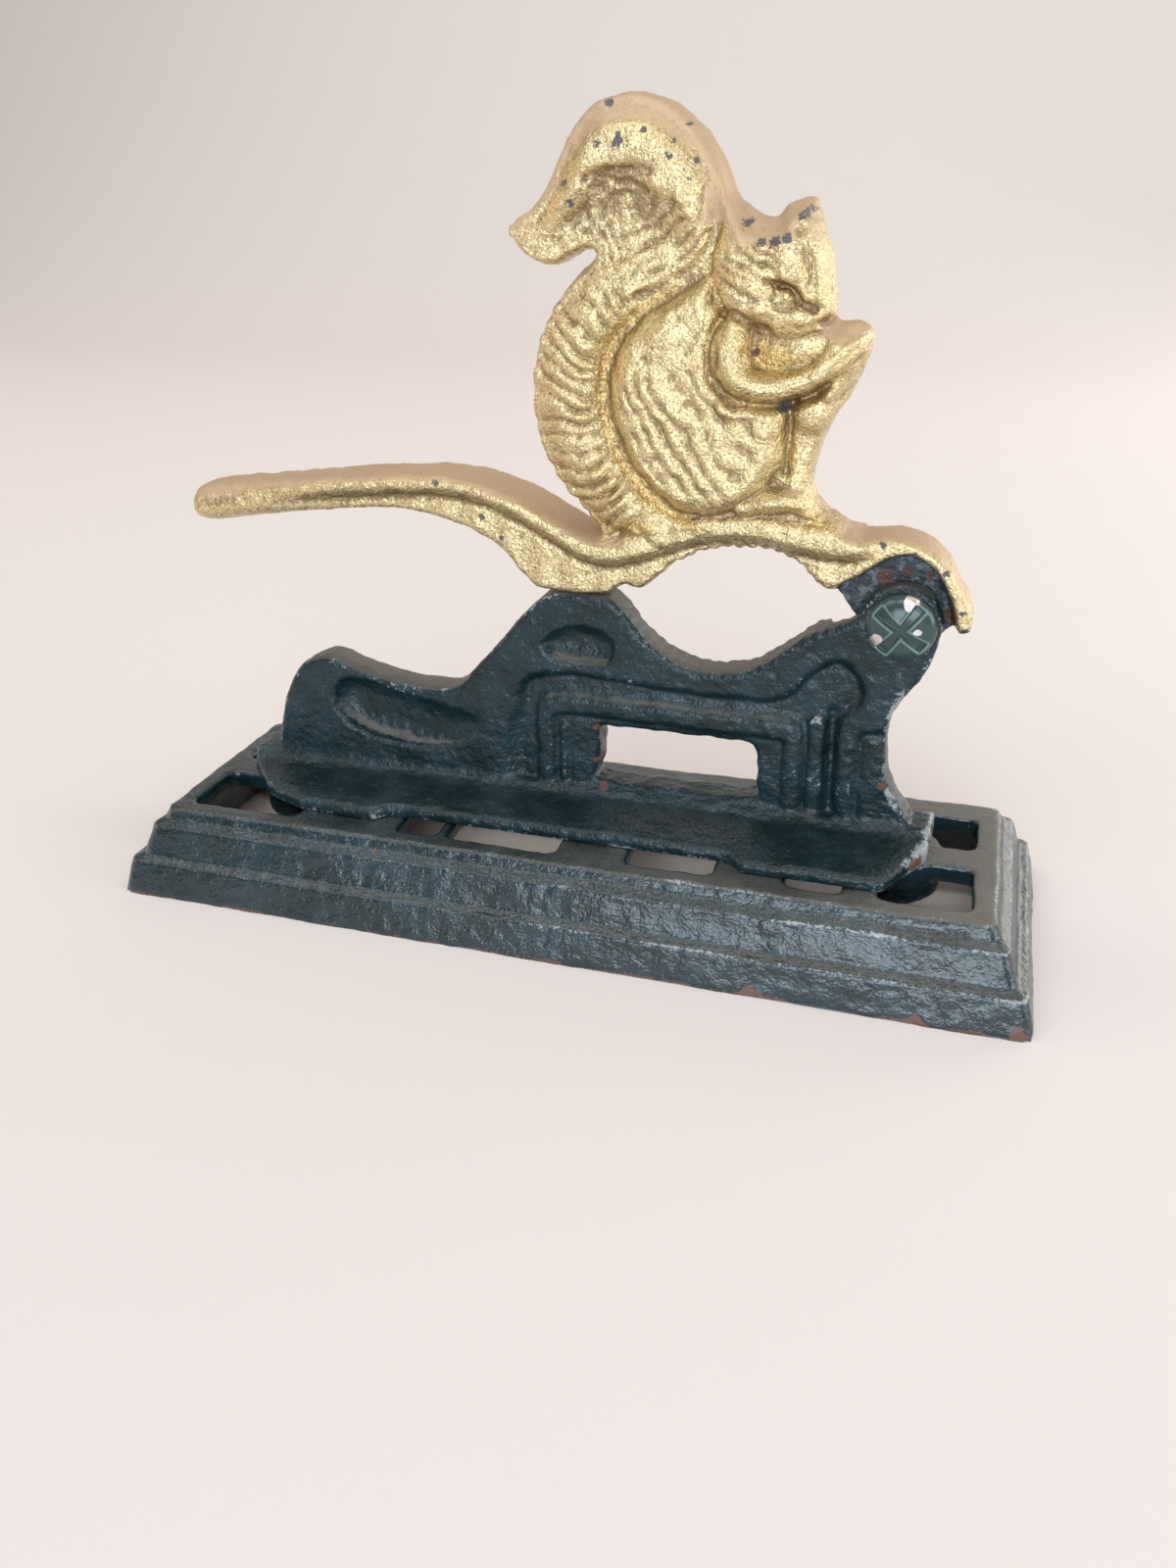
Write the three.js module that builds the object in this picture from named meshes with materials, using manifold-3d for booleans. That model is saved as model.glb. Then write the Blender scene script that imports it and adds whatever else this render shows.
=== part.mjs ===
// Cast-iron lever nutcracker press: tiered base, anvil frame and a lever with a squirrel on it.
// Millimetres, +Z up. The origin is the middle of the base's underside, +X runs along the base
// from the handle's end to the pivot, and the press is seen from the front, where Y is lowest.

import * as THREE from "three";
import { mergeVertices } from "three/addons/utils/BufferGeometryUtils.js";
import Module from "manifold-3d";

const wasm = await Module();
wasm.setup();

// Driving dimensions of the base
const baseLength = 200;
const baseWidth = 68;
const baseHeight = 18.6;
const baseTopInset = 9.4;
const baseCornerRadius = 2.4;
const baseWall = 4.2;
const basePlate = 4.2;
const spineWidth = 8;
const frontOpeningDepth = 16.3;
const backOpeningDepth = 14;
const openingCornerRadius = 1.8;
const bossRadius = 10;
const bossHeight = 9;
const bossEndInset = 30.5;
const screwInset = 3.2;

// Driving dimensions of the frame
const pivotEndInset = 33.3;
const jawReach = 64.7;
const frameEndInset = 24.5;
const frameHeight = 50.4;
const frameThickness = 8.4;
const frameFrontY = -1;
const frameEdgeRound = 0.9;
const pivotDrop = 1.1;
const earRadius = 7.7;
const footThickness = 4.2;
const footEdgeThickness = 2.8;
const footReach = 17.5;
const footToe = 5.5;
const footHeel = 10.3;
const footFillet = 2.6;
const reliefDepth = 1.4;
const scoopDepth = 2.4;

// Driving dimensions of the lever
const handleLength = 88.5;
const leverRise = 22.5;
const handleWidth = 14.8;
const beadHeight = 2.5;
const handleEdgeRound = 1.6;
const grooveRunout = 16;
const hoodRadius = 17.6;
const hoodWidth = 11.4;
const tangRadius = 7.4;
const rabbetRadius = 13.9;

// Driving dimensions of the squirrel
const figureWidth = 67.6;
const figureHeight = 74.7;
const figureLeft = 10.2;
const figureBaseDrop = 7.8;
const figureSheet = 9;
const figureDepth = 23;

// Driving dimensions of the teeth on both jaws
const toothPitch = 2.6;
const toothDepth = 0.55;

// Driving dimensions of the fasteners
const pivotBore = 6.4;
const pivotShank = 6;
const pivotHeadDiameter = 13.4;
const pivotHeadHeight = 3.6;
const pivotSlotWidth = 1.3;
const pivotSlotDepth = 1.6;
const pivotWasherDiameter = 12.5;
const pivotWasherThickness = 1.6;
const pivotNutAcross = 10;
const pivotNutHeight = 5;
const threadOverhang = 1.5;
const screwShank = 5;
const screwBore = 5.5;
const screwHeadDiameter = 9.5;
const screwHeadHeight = 3.4;
const screwGrip = 5.2;
const screwWasherDiameter = 12;
const screwWasherThickness = 1.2;
const screwSlotWidth = 1.4;
const screwSlotDepth = 1.7;

// Clearances and overruns
const seatGap = 0.3;
const turnGap = 0.3;
const threadGap = 0.15;
const cutOverrun = 5;

// Counts of facets
const curveSteps = 2;
const cornerSteps = 2;
const roundSides = 24;
const lobeSides = 14;
const lobeRings = 9;
const sweepSides = 10;
const toothSides = 6;
const bevelSteps = 2;
const domeSteps = 6;
const miterFloor = 0.7;
const weldDistance = 0.001;

// Directions
const axisX = new THREE.Vector3(1, 0, 0);
const axisY = new THREE.Vector3(0, 1, 0);
const axisZ = new THREE.Vector3(0, 0, 1);

// Places worked out from the sizes
const bossSpacing = baseLength - 2 * bossEndInset;
const pivotX = baseLength / 2 - pivotEndInset;
const peakX = pivotX - jawReach;
const tongueLength = peakX + baseLength / 2 - frameEndInset;
const frameBackY = frameFrontY + frameThickness;
const lapY = frameFrontY + frameThickness / 2;
const footTopZ = baseHeight + footThickness;
const peakZ = baseHeight + frameHeight;
const pivotZ = peakZ - pivotDrop;
const leverRestZ = peakZ + seatGap;
const footLeftX = peakX - tongueLength - footToe;
const footRightX = pivotX + footHeel;
const figureLeftX = peakX - figureLeft - (figureWidth - jawReach);
const figureBaseZ = leverRestZ + leverRise - figureBaseDrop;
const screwY = frameFrontY + screwInset;
const bossBottomZ = baseHeight - bossHeight;
const washerFrontY = frameBackY + seatGap;
const nutBackY = washerFrontY + pivotWasherThickness + seatGap + pivotNutHeight;

// Outline shares. On the frame and the lever a positive x share runs from the peak towards the
// pivot as a share of the jaw's reach, and a negative one runs the other way, towards the tongue's
// end or the handle's tip.
const tierShares = [[0, 0], [0.22, 0.41], [0.44, 0.45], [0.66, 0.8], [0.87, 0.87], [1, 1]];
const openingShares = [
  [-0.955, -0.66], [-0.392, -0.287], [-0.265, 0.011], [0.182, 0.387], [0.547, 0.674], [0.751, 0.95],
];
const tongueShares = [
  [-1, 0], [-0.975, 0.206], [-0.932, 0.403], [-0.895, 0.52], [-0.86, 0.566], [-0.8, 0.592],
  [-0.765, 0.594], [-0.66, 0.553], [-0.52, 0.517], [-0.42, 0.514], [-0.365, 0.548],
  [-0.27, 0.7], [-0.2, 0.83], [-0.115, 0.958], [-0.066, 0.998],
];
const jawShares = [
  [0.083, 1], [0.131, 0.944], [0.206, 0.831], [0.275, 0.764], [0.362, 0.718], [0.45, 0.711],
  [0.543, 0.734], [0.611, 0.784], [0.669, 0.841], [0.734, 0.908], [0.818, 0.955], [0.868, 1.003],
];
const neckShares = [
  [1.113, 0.865], [1.079, 0.764], [1.034, 0.687], [0.997, 0.599], [0.988, 0.5], [0.995, 0.347],
  [1.023, 0.25], [1.08, 0.135], [1.12, 0],
];
const windowShares = [
  [0.051, 0.147], [0.054, 0.409], [0.55, 0.409], [0.582, 0.365], [0.589, 0.242], [0.573, 0.147],
];
const bandShares = [
  [-0.2, 0.06], [-0.19, 0.494], [-0.138, 0.6], [-0.03, 0.62], [0.185, 0.622], [0.6, 0.623],
  [0.742, 0.702], [0.83, 0.79], [0.862, 0.78], [0.889, 0.715], [0.855, 0.6], [0.847, 0.06],
];
const ribShares = [[-0.112, 0.04], [-0.112, 0.548], [0.703, 0.548], [0.703, 0.04]];
const stepShares = [[-0.053, 0.04], [-0.053, 0.464], [0.632, 0.464], [0.632, 0.04]];
const postShares = [[0.75, 0.04], [0.75, 0.64], [0.801, 0.66], [0.801, 0.04]];
const hookShares = [[0.897, 0.12], [0.897, 0.49], [0.96, 0.5], [0.96, 0.475], [0.918, 0.465], [0.918, 0.12]];
const scoopShares = { centre: [-0.51, 0.38], length: 0.225, height: 0.1, tilt: -0.12 };
const dimpleShares = { centre: [-0.004, 0.758], length: 0.099, height: 0.075, tilt: 0 };
const earTurnShare = 0.9;
const filletShare = 0.3;
const ribRoundShare = 0.9;
const footShares = [
  [0, 0], [0.004, 0.09], [0.038, 0.43], [0.066, 0.71], [0.133, 0.97], [0.25, 0.97], [0.263, 0.8],
  [0.753, 0.83], [0.772, 1], [0.949, 1], [0.997, 0.2], [1, 0],
];
const handleTopShares = [
  [-0.998, 0.557], [-0.985, 0.66], [-0.935, 0.768], [-0.84, 0.835], [-0.74, 0.877], [-0.543, 0.952],
  [-0.359, 1], [-0.239, 0.967], [-0.13, 0.84], [-0.043, 0.675], [0.046, 0.515], [0.147, 0.474],
  [0.286, 0.567], [0.433, 0.675], [0.618, 0.693], [0.742, 0.619], [0.85, 0.629],
];
const handleBottomShares = [
  [0.819, 0.289], [0.774, 0.235], [0.714, 0.361], [0.655, 0.489], [0.573, 0.542], [0.479, 0.533],
  [0.385, 0.466], [0.314, 0.369], [0.262, 0.206], [0.222, 0.103], [0.19, 0.062], [0.145, 0.052],
  [0.095, 0], [-0.065, 0], [-0.11, 0.036], [-0.145, 0.175], [-0.178, 0.34], [-0.249, 0.515],
  [-0.328, 0.613], [-0.418, 0.67], [-0.514, 0.665], [-0.71, 0.573], [-0.9, 0.461],
  [-0.95, 0.464], [-0.985, 0.5],
];
const hoodShares = [
  { turn: 152, inner: 0.8, outer: 1.02 }, { turn: 120, inner: 0.775, outer: 0.99 },
  { turn: 90, inner: 0.785, outer: 0.945 }, { turn: 62, inner: 0.69, outer: 0.82 },
  { turn: 36, inner: 0.57, outer: 0.71 }, { turn: 16, inner: 0.54, outer: 0.72 },
  { turn: 1, inner: 0.55, outer: 0.725 }, { turn: -2, inner: 0.6, outer: 0.69 },
];
const tangShares = [
  [-0.78, 0.33], [-0.5, 0.7], [0, 0.85], [0.45, 0.62], [0.6, 0.06], [0.42, -0.06], [-0.36, -0.25],
];
const figureOutlineShares = [
  [0.28, -0.05], [0.225, 0.045], [0.15, 0.115], [0.09, 0.2], [0.068, 0.3], [0.07, 0.38], [0.098, 0.48],
  [0.17, 0.575], [0.265, 0.655], [0.225, 0.672], [0.15, 0.636], [0.09, 0.648], [0.04, 0.68],
  [0.008, 0.722], [0.05, 0.755], [0.12, 0.782], [0.155, 0.87], [0.215, 0.95], [0.295, 0.99],
  [0.38, 1], [0.455, 0.978], [0.532, 0.915], [0.582, 0.845], [0.625, 0.78], [0.68, 0.735], [0.72, 0.73],
  [0.76, 0.757], [0.8, 0.767], [0.83, 0.75], [0.842, 0.705], [0.867, 0.66], [0.888, 0.585],
  [0.908, 0.52], [0.96, 0.512], [0.99, 0.485], [0.986, 0.43], [0.938, 0.33], [0.885, 0.24],
  [0.86, 0.17], [0.86, 0.115], [0.885, 0.07], [0.985, 0.01], [0.85, -0.05], [0.5, -0.08],
];
const tailShares = [
  { at: [0.28, 0.02], wide: 0.055 }, { at: [0.205, 0.13], wide: 0.072 }, { at: [0.16, 0.26], wide: 0.083 },
  { at: [0.158, 0.39], wide: 0.08 }, { at: [0.202, 0.51], wide: 0.073 }, { at: [0.295, 0.63], wide: 0.06 },
];
const plumeShares = [
  { at: [0.44, 0.66], wide: 0.06 }, { at: [0.49, 0.79], wide: 0.085 }, { at: [0.396, 0.882], wide: 0.102 },
  { at: [0.28, 0.858], wide: 0.1 }, { at: [0.178, 0.765], wide: 0.077 }, { at: [0.075, 0.72], wide: 0.04 },
];
const armShares = [
  { at: [0.63, 0.515], wide: 0.05 }, { at: [0.645, 0.42], wide: 0.048 }, { at: [0.71, 0.365], wide: 0.045 },
  { at: [0.81, 0.375], wide: 0.04 }, { at: [0.9, 0.44], wide: 0.042 },
];
const lobeShares = {
  back: { at: [0.5, 0.38], size: [0.27, 0.3], depth: 0.82, turn: 0 },
  haunch: { at: [0.55, 0.275], size: [0.235, 0.225], depth: 1, turn: 0.5 },
  head: { at: [0.742, 0.625], size: [0.14, 0.122], depth: 0.78, turn: -0.5 },
  snout: { at: [0.848, 0.56], size: [0.054, 0.052], depth: 0.5, turn: -0.6 },
  foot: { at: [0.772, 0.1], size: [0.083, 0.038], depth: 0.7, turn: -0.05 },
  nut: { at: [0.945, 0.47], size: [0.052, 0.045], depth: 0.48, turn: 0 },
};
const earShares = { at: [0.798, 0.715], size: [0.033, 0.048], depth: 0.14, spread: 0.26 };
const limbShares = { tail: 3.6, plume: 3, arm: 4, armSpread: 0.26 };

// Shares of the screws' heads: the dome's height, the cross's length and the pan head's [radius, height]
const domeShare = 0.8;
const pivotCrossShare = 0.84;
const screwCrossShare = 0.6;
const panShares = [[0.6, 0], [0.9, 0.3], [1, 0.6], [1, 1]];

/** Turn corner positions and triangles into a solid whose faces point outwards. */
function closedSolid(positions, triangles) {
  const kept = triangles.filter(([a, b, c]) => a !== b && b !== c && c !== a);
  const volume = kept.reduce((sum, [a, b, c]) => sum + positions[a].dot(
    new THREE.Vector3().crossVectors(positions[b], positions[c])), 0);
  const facing = volume > 0 ? kept : kept.map(([a, b, c]) => [a, c, b]);
  return new wasm.Manifold(new wasm.Mesh({
    numProp: 3,
    vertProperties: new Float32Array(positions.flatMap((p) => [p.x, p.y, p.z])),
    triVerts: new Uint32Array(facing.flat()),
  }));
}

/** Turn a closed geometry into a solid. */
function solidOf(geometry) {
  const plain = geometry.clone();
  plain.deleteAttribute("normal");
  plain.deleteAttribute("uv");
  const merged = mergeVertices(plain);
  const corner = merged.attributes.position;
  const positions = Array.from(
    { length: corner.count }, (_, i) => new THREE.Vector3().fromBufferAttribute(corner, i));
  const triangles = [];
  for (let i = 0; i < merged.index.count; i += 3) {
    triangles.push([merged.index.getX(i), merged.index.getX(i + 1), merged.index.getX(i + 2)]);
  }
  return closedSolid(positions, triangles);
}

/** Turn a manifold-3d solid back into a geometry, with corners that all but touch made one. */
function geometryOf(solid) {
  const mesh = solid.getMesh();
  const raw = new THREE.BufferGeometry();
  raw.setAttribute("position", new THREE.Float32BufferAttribute(mesh.vertProperties, 3));
  raw.setIndex(Array.from(mesh.triVerts));
  const geometry = mergeVertices(raw, weldDistance);
  const kept = [];
  for (let i = 0; i < geometry.index.count; i += 3) {
    const [a, b, c] = [0, 1, 2].map((k) => geometry.index.getX(i + k));
    if (a !== b && b !== c && c !== a) kept.push(a, b, c);
  }
  geometry.setIndex(kept);
  geometry.computeVertexNormals();
  return geometry;
}

/** Join a list of solids into one. */
function joined(solids) {
  return solids.reduce((whole, solid) => whole.add(solid));
}

/** Cut each solid of a list out of a body. */
function cutBy(body, tools) {
  return tools.reduce((rest, tool) => rest.subtract(tool), body);
}

/** Closed outline through corner points, counter-clockwise and without doubled points. */
function polygon(points) {
  const apart = points.filter((p, i) => p.distanceTo(points[(i + 1) % points.length]) > weldDistance);
  return THREE.ShapeUtils.isClockWise(apart) ? apart.reverse() : apart;
}

/** Smooth open run of points through the given ones. */
function smoothRun(points, steps = curveSteps) {
  return new THREE.SplineCurve(points).getPoints((points.length - 1) * steps);
}

/** Outline that is one smooth closed curve through the points. */
function smoothShape(points) {
  const curve = new THREE.CatmullRomCurve3(points.map((p) => new THREE.Vector3(p.x, p.y, 0)), true);
  const loop = curve.getPoints(points.length * curveSteps).slice(0, -1);
  return polygon(loop.map((p) => new THREE.Vector2(p.x, p.y)));
}

/** Outline of a rectangle with rounded corners. */
function roundedRectangle(left, right, low, high, radius) {
  const shape = new THREE.Shape();
  shape.absarc(right - radius, high - radius, radius, 0, Math.PI / 2);
  shape.absarc(left + radius, high - radius, radius, Math.PI / 2, Math.PI);
  shape.absarc(left + radius, low + radius, radius, Math.PI, Math.PI * 1.5);
  shape.absarc(right - radius, low + radius, radius, Math.PI * 1.5, Math.PI * 2);
  return polygon(shape.getPoints(cornerSteps));
}

/** Direction, about one long, in which a corner of an outline moves when the outline is drawn in. */
function inward(outline, i) {
  const here = outline[i];
  const before = here.clone().sub(outline[(i + outline.length - 1) % outline.length]).normalize();
  const after = outline[(i + 1) % outline.length].clone().sub(here).normalize();
  const both = new THREE.Vector2(-before.y - after.y, before.x + after.x);
  const spread = Math.max(1 + before.dot(after), miterFloor);
  return both.divideScalar(spread);
}

/** Solid of an outline run along a third axis, drawn in by an inset at each level. */
function prism(outline, levels, acrossX, acrossY, along) {
  const moves = outline.map((_, i) => inward(outline, i));
  const count = outline.length;
  const positions = levels.flatMap(({ at, inset }) => outline.map((p, i) => new THREE.Vector3()
    .addScaledVector(acrossX, p.x + moves[i].x * inset)
    .addScaledVector(acrossY, p.y + moves[i].y * inset)
    .addScaledVector(along, at)));
  const caps = THREE.ShapeUtils.triangulateShape(outline, []);
  const last = (levels.length - 1) * count;
  const triangles = caps.flatMap(([a, b, c]) => [[a, c, b], [last + a, last + b, last + c]]);
  triangles.push(...wall(levels.length, count));
  return closedSolid(positions, triangles);
}

/** Triangles between rings of as many corners each. */
function wall(rings, count) {
  const triangles = [];
  for (let ring = 0; ring + 1 < rings; ring += 1) {
    for (let i = 0; i < count; i += 1) {
      const a = ring * count + i;
      const b = ring * count + ((i + 1) % count);
      triangles.push([a, b, b + count], [a, b + count, a + count]);
    }
  }
  return triangles;
}

/** Levels of a run whose two edges are rounded. */
function roundedLevels(low, high, edgeRound) {
  if (edgeRound === 0) return [{ at: low, inset: 0 }, { at: high, inset: 0 }];
  const rising = Array.from({ length: bevelSteps + 1 }, (_, step) => {
    const angle = (step / bevelSteps) * Math.PI / 2;
    return { rise: edgeRound * (1 - Math.cos(angle)), inset: edgeRound * (1 - Math.sin(angle)) };
  });
  return [
    ...rising.map(({ rise, inset }) => ({ at: low + rise, inset })),
    ...rising.map(({ rise, inset }) => ({ at: high - rise, inset })).reverse(),
  ];
}

/** Solid of an outline in the XZ plane, from one Y to another, with its face edges rounded. */
function slab(outline, frontY, backY, edgeRound = 0) {
  return prism(outline, roundedLevels(frontY, backY, edgeRound), axisX, axisZ, axisY);
}

/** Solid of an outline in the XY plane, from one height to another. */
function column(outline, lowZ, highZ) {
  return prism(outline, roundedLevels(lowZ, highZ, 0), axisX, axisY, axisZ);
}

/** Solid of an outline in the YZ plane, run along X. */
function rail(outline, leftX, rightX) {
  return prism(outline, roundedLevels(leftX, rightX, 0), axisY, axisZ, axisX);
}

/** Solid that passes through closed loops of as many points each. */
function loft(loops) {
  const count = loops[0].length;
  const last = (loops.length - 1) * count;
  const triangles = wall(loops.length, count);
  for (let i = 1; i + 1 < count; i += 1) {
    triangles.push([0, i + 1, i], [last, last + i, last + i + 1]);
  }
  return closedSolid(loops.flat(), triangles);
}

/** Level loop of a rounded rectangle about the Z axis. */
function levelLoop(length, width, radius, z) {
  const loop = [];
  for (let corner = 0; corner < 4; corner += 1) {
    const sideX = corner === 0 || corner === 3 ? 1 : -1;
    const sideY = corner < 2 ? 1 : -1;
    for (let step = 0; step <= cornerSteps; step += 1) {
      const angle = (corner + step / cornerSteps) * Math.PI / 2;
      loop.push(new THREE.Vector3(
        sideX * (length / 2 - radius) + radius * Math.cos(angle),
        sideY * (width / 2 - radius) + radius * Math.sin(angle),
        z,
      ));
    }
  }
  return loop;
}

/** Solid of revolution about a line along Y through a point, from [radius, y] pairs. */
function turnedAboutY(profile, x, z) {
  const geometry = new THREE.LatheGeometry(
    profile.map(([radius, y]) => new THREE.Vector2(radius, y)), roundSides);
  geometry.translate(x, 0, z);
  return solidOf(geometry);
}

/** Solid of revolution about a vertical line through a point, from [radius, z] pairs. */
function turnedAboutZ(profile, x, y) {
  const geometry = new THREE.LatheGeometry(
    profile.map(([radius, z]) => new THREE.Vector2(radius, z)), roundSides);
  geometry.rotateX(Math.PI / 2);
  geometry.translate(x, y, 0);
  return solidOf(geometry);
}

/** Ellipsoid with half sizes along X, Y and Z, turned about Y. */
function ellipsoid(centre, half, turn) {
  const geometry = new THREE.SphereGeometry(1, lobeSides, lobeRings);
  geometry.scale(half.x, half.y, half.z);
  geometry.rotateY(-turn);
  geometry.translate(centre.x, centre.y, centre.z);
  return solidOf(geometry);
}

/** Round-ended limb along a smooth path in the XZ plane, oval in section. */
function limb(stations, y, depthOverWidth) {
  const path = new THREE.CatmullRomCurve3(stations.map((s) => new THREE.Vector3(s.x, y, s.z)));
  const steps = (stations.length - 1) * curveSteps;
  const loops = [];
  for (let step = -1; step <= steps + 1; step += 1) {
    const along = Math.min(Math.max(step, 0), steps) / steps;
    const centre = path.getPoint(along);
    const forward = path.getTangent(along);
    const scaled = along * (stations.length - 1);
    const from = Math.min(Math.floor(scaled), stations.length - 2);
    const width = THREE.MathUtils.lerp(stations[from].half, stations[from + 1].half, scaled - from);
    const isEnd = step < 0 || step > steps;
    const narrowing = isEnd ? Math.SQRT1_2 : 1;
    const advance = isEnd ? Math.sign(step) * width * Math.SQRT1_2 : 0;
    const side = new THREE.Vector3(-forward.z, 0, forward.x);
    const loop = [];
    for (let i = 0; i < sweepSides; i += 1) {
      const angle = (i / sweepSides) * Math.PI * 2;
      loop.push(centre.clone()
        .addScaledVector(forward, advance)
        .addScaledVector(side, width * narrowing * Math.cos(angle))
        .add(new THREE.Vector3(0, width * narrowing * depthOverWidth * Math.sin(angle), 0)));
    }
    loops.push(loop);
  }
  return loft(loops);
}

/** Point on the frame's outline from a pair of shares. */
function onFrame([shareX, shareZ]) {
  const span = shareX > 0 ? jawReach : tongueLength;
  return new THREE.Vector2(peakX + shareX * span, baseHeight + shareZ * frameHeight);
}

/** Point on the lever's outline from a pair of shares. */
function onLever([shareX, shareZ]) {
  const span = shareX > 0 ? jawReach : handleLength;
  return new THREE.Vector2(peakX + shareX * span, leverRestZ + shareZ * leverRise);
}

/** Point on the squirrel from a pair of shares. */
function onFigure([shareX, shareZ]) {
  return new THREE.Vector2(figureLeftX + shareX * figureWidth, figureBaseZ + shareZ * figureHeight);
}

/** Round notches along a jaw's curve, one tooth pitch apart. */
function teeth(points, frontY, backY) {
  const curve = new THREE.SplineCurve(points);
  const count = Math.floor(curve.getLength() / toothPitch);
  const notches = [];
  for (let i = 0; i <= count; i += 1) {
    const at = curve.getPointAt(i / count);
    const geometry = new THREE.CylinderGeometry(
      toothDepth, toothDepth, backY - frontY + 2 * cutOverrun, toothSides);
    geometry.translate(at.x, (frontY + backY) / 2, at.y);
    notches.push(solidOf(geometry));
  }
  return notches;
}

/** Base: a hollow tiered tray with a slotted top plate and two screw bosses. */
function makeBase() {
  const outer = loft(tierShares.map(([insetShare, heightShare]) => {
    const inset = insetShare * baseTopInset;
    return levelLoop(
      baseLength - 2 * inset, baseWidth - 2 * inset, baseCornerRadius, heightShare * baseHeight);
  }));
  const ceilingZ = baseHeight - basePlate;
  const hollow = loft([
    levelLoop(baseLength - 2 * baseWall, baseWidth - 2 * baseWall, baseCornerRadius, 0),
    levelLoop(
      baseLength - 2 * (baseWall + baseTopInset), baseWidth - 2 * (baseWall + baseTopInset),
      baseCornerRadius, ceilingZ),
  ]);
  const mouth = column(
    roundedRectangle(
      baseWall - baseLength / 2, baseLength / 2 - baseWall,
      baseWall - baseWidth / 2, baseWidth / 2 - baseWall, baseCornerRadius),
    -cutOverrun, 0);
  const halfPlate = baseLength / 2 - baseTopInset;
  const windows = openingShares.flatMap(([from, to]) => [
    column(roundedRectangle(
      from * halfPlate, to * halfPlate, -spineWidth / 2 - frontOpeningDepth, -spineWidth / 2,
      openingCornerRadius), 0, baseHeight + cutOverrun),
    column(roundedRectangle(
      from * halfPlate, to * halfPlate, spineWidth / 2, spineWidth / 2 + backOpeningDepth,
      openingCornerRadius), 0, baseHeight + cutOverrun),
  ]);
  const bosses = [-1, 1].map((side) => turnedAboutZ([
    [0, baseHeight - bossHeight], [bossRadius, baseHeight - bossHeight],
    [bossRadius, baseHeight], [0, baseHeight],
  ], side * bossSpacing / 2, screwY));
  const bores = [-1, 1].map((side) => turnedAboutZ([
    [0, -cutOverrun], [screwBore / 2, -cutOverrun],
    [screwBore / 2, baseHeight + cutOverrun], [0, baseHeight + cutOverrun],
  ], side * bossSpacing / 2, screwY));
  const tray = cutBy(outer, [hollow, mouth, ...windows]);
  return cutBy(joined([tray, ...bosses]), bores);
}

/** Frame: an upright plate on a flange, with a tongue, a toothed jaw, a window and the pivot's ear. */
function makeFrame() {
  const outline = polygon([
    ...smoothRun(tongueShares.map(onFrame)),
    ...smoothRun(jawShares.map(onFrame)),
    ...new THREE.EllipseCurve(
      pivotX, pivotZ, earRadius, earRadius, Math.PI * earTurnShare, 0, true).getPoints(roundSides / 2),
    ...smoothRun(neckShares.map(onFrame)),
  ]);
  const plate = slab(outline, frameFrontY, frameBackY, frameEdgeRound);
  const footPlan = column(polygon([
    new THREE.Vector2(footRightX, frameBackY),
    new THREE.Vector2(footLeftX, frameBackY),
    ...footShares.map(([along, out]) => new THREE.Vector2(
      THREE.MathUtils.lerp(footLeftX, footRightX, along), frameFrontY - out * footReach)),
  ]), 0, footTopZ + footFillet + cutOverrun);
  const frontEdgeY = frameFrontY - footReach;
  const footProfile = polygon([
    new THREE.Vector2(frontEdgeY, baseHeight),
    new THREE.Vector2(frameBackY, baseHeight),
    new THREE.Vector2(frameBackY, footTopZ),
    new THREE.Vector2(frameFrontY, footTopZ + footFillet),
    new THREE.Vector2(frameFrontY - footFillet * filletShare, footTopZ + footFillet * filletShare),
    new THREE.Vector2(frameFrontY - footFillet, footTopZ),
    new THREE.Vector2(frontEdgeY, baseHeight + footEdgeThickness),
  ]);
  const flange = rail(footProfile, footLeftX, footRightX).intersect(footPlan);
  const dish = ({ centre, length, height, tilt }) => {
    const at = onFrame(centre);
    return ellipsoid(
      new THREE.Vector3(at.x, frameFrontY, at.y),
      new THREE.Vector3(length * tongueLength, scoopDepth, height * frameHeight), tilt);
  };
  const reliefY = frameFrontY + reliefDepth;
  const band = slab(smoothShape(bandShares.map(onFrame)), frameFrontY - cutOverrun, reliefY);
  const rib = slab(
    polygon(ribShares.map(onFrame)), frameFrontY, reliefY + reliefDepth, reliefDepth * ribRoundShare);
  const step = slab(
    polygon(stepShares.map(onFrame)), frameFrontY - cutOverrun, frameFrontY + reliefDepth / 2);
  const post = slab(polygon(postShares.map(onFrame)), frameFrontY, reliefY + reliefDepth, reliefDepth / 2);
  const hook = slab(polygon(hookShares.map(onFrame)), frameFrontY - cutOverrun, reliefY);
  const openWindow = slab(
    polygon(windowShares.map(onFrame)), frameFrontY - cutOverrun, frameBackY + cutOverrun);
  const rabbet = turnedAboutY([
    [0, lapY], [rabbetRadius, lapY], [rabbetRadius, frameBackY + cutOverrun], [0, frameBackY + cutOverrun],
  ], pivotX, pivotZ);
  const bore = turnedAboutY([
    [0, frameFrontY - cutOverrun], [pivotBore / 2, frameFrontY - cutOverrun],
    [pivotBore / 2, frameBackY + cutOverrun], [0, frameBackY + cutOverrun],
  ], pivotX, pivotZ);
  const jawTeeth = teeth(jawShares.slice(1, -2).map(onFrame), frameFrontY, frameBackY);
  const sunk = cutBy(plate, [dish(scoopShares), dish(dimpleShares), band, hook]);
  const ribbed = joined([sunk, cutBy(rib, [step]), post]);
  const taps = [-1, 1].map((side) => turnedAboutZ([
    [0, baseHeight - cutOverrun], [screwShank / 2 + threadGap, baseHeight - cutOverrun],
    [screwShank / 2 + threadGap, baseHeight + screwGrip], [0, baseHeight + screwGrip],
  ], side * bossSpacing / 2, screwY));
  return cutBy(joined([cutBy(ribbed, [openWindow]), flange]), [rabbet, bore, ...jawTeeth, ...taps]);
}

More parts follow.
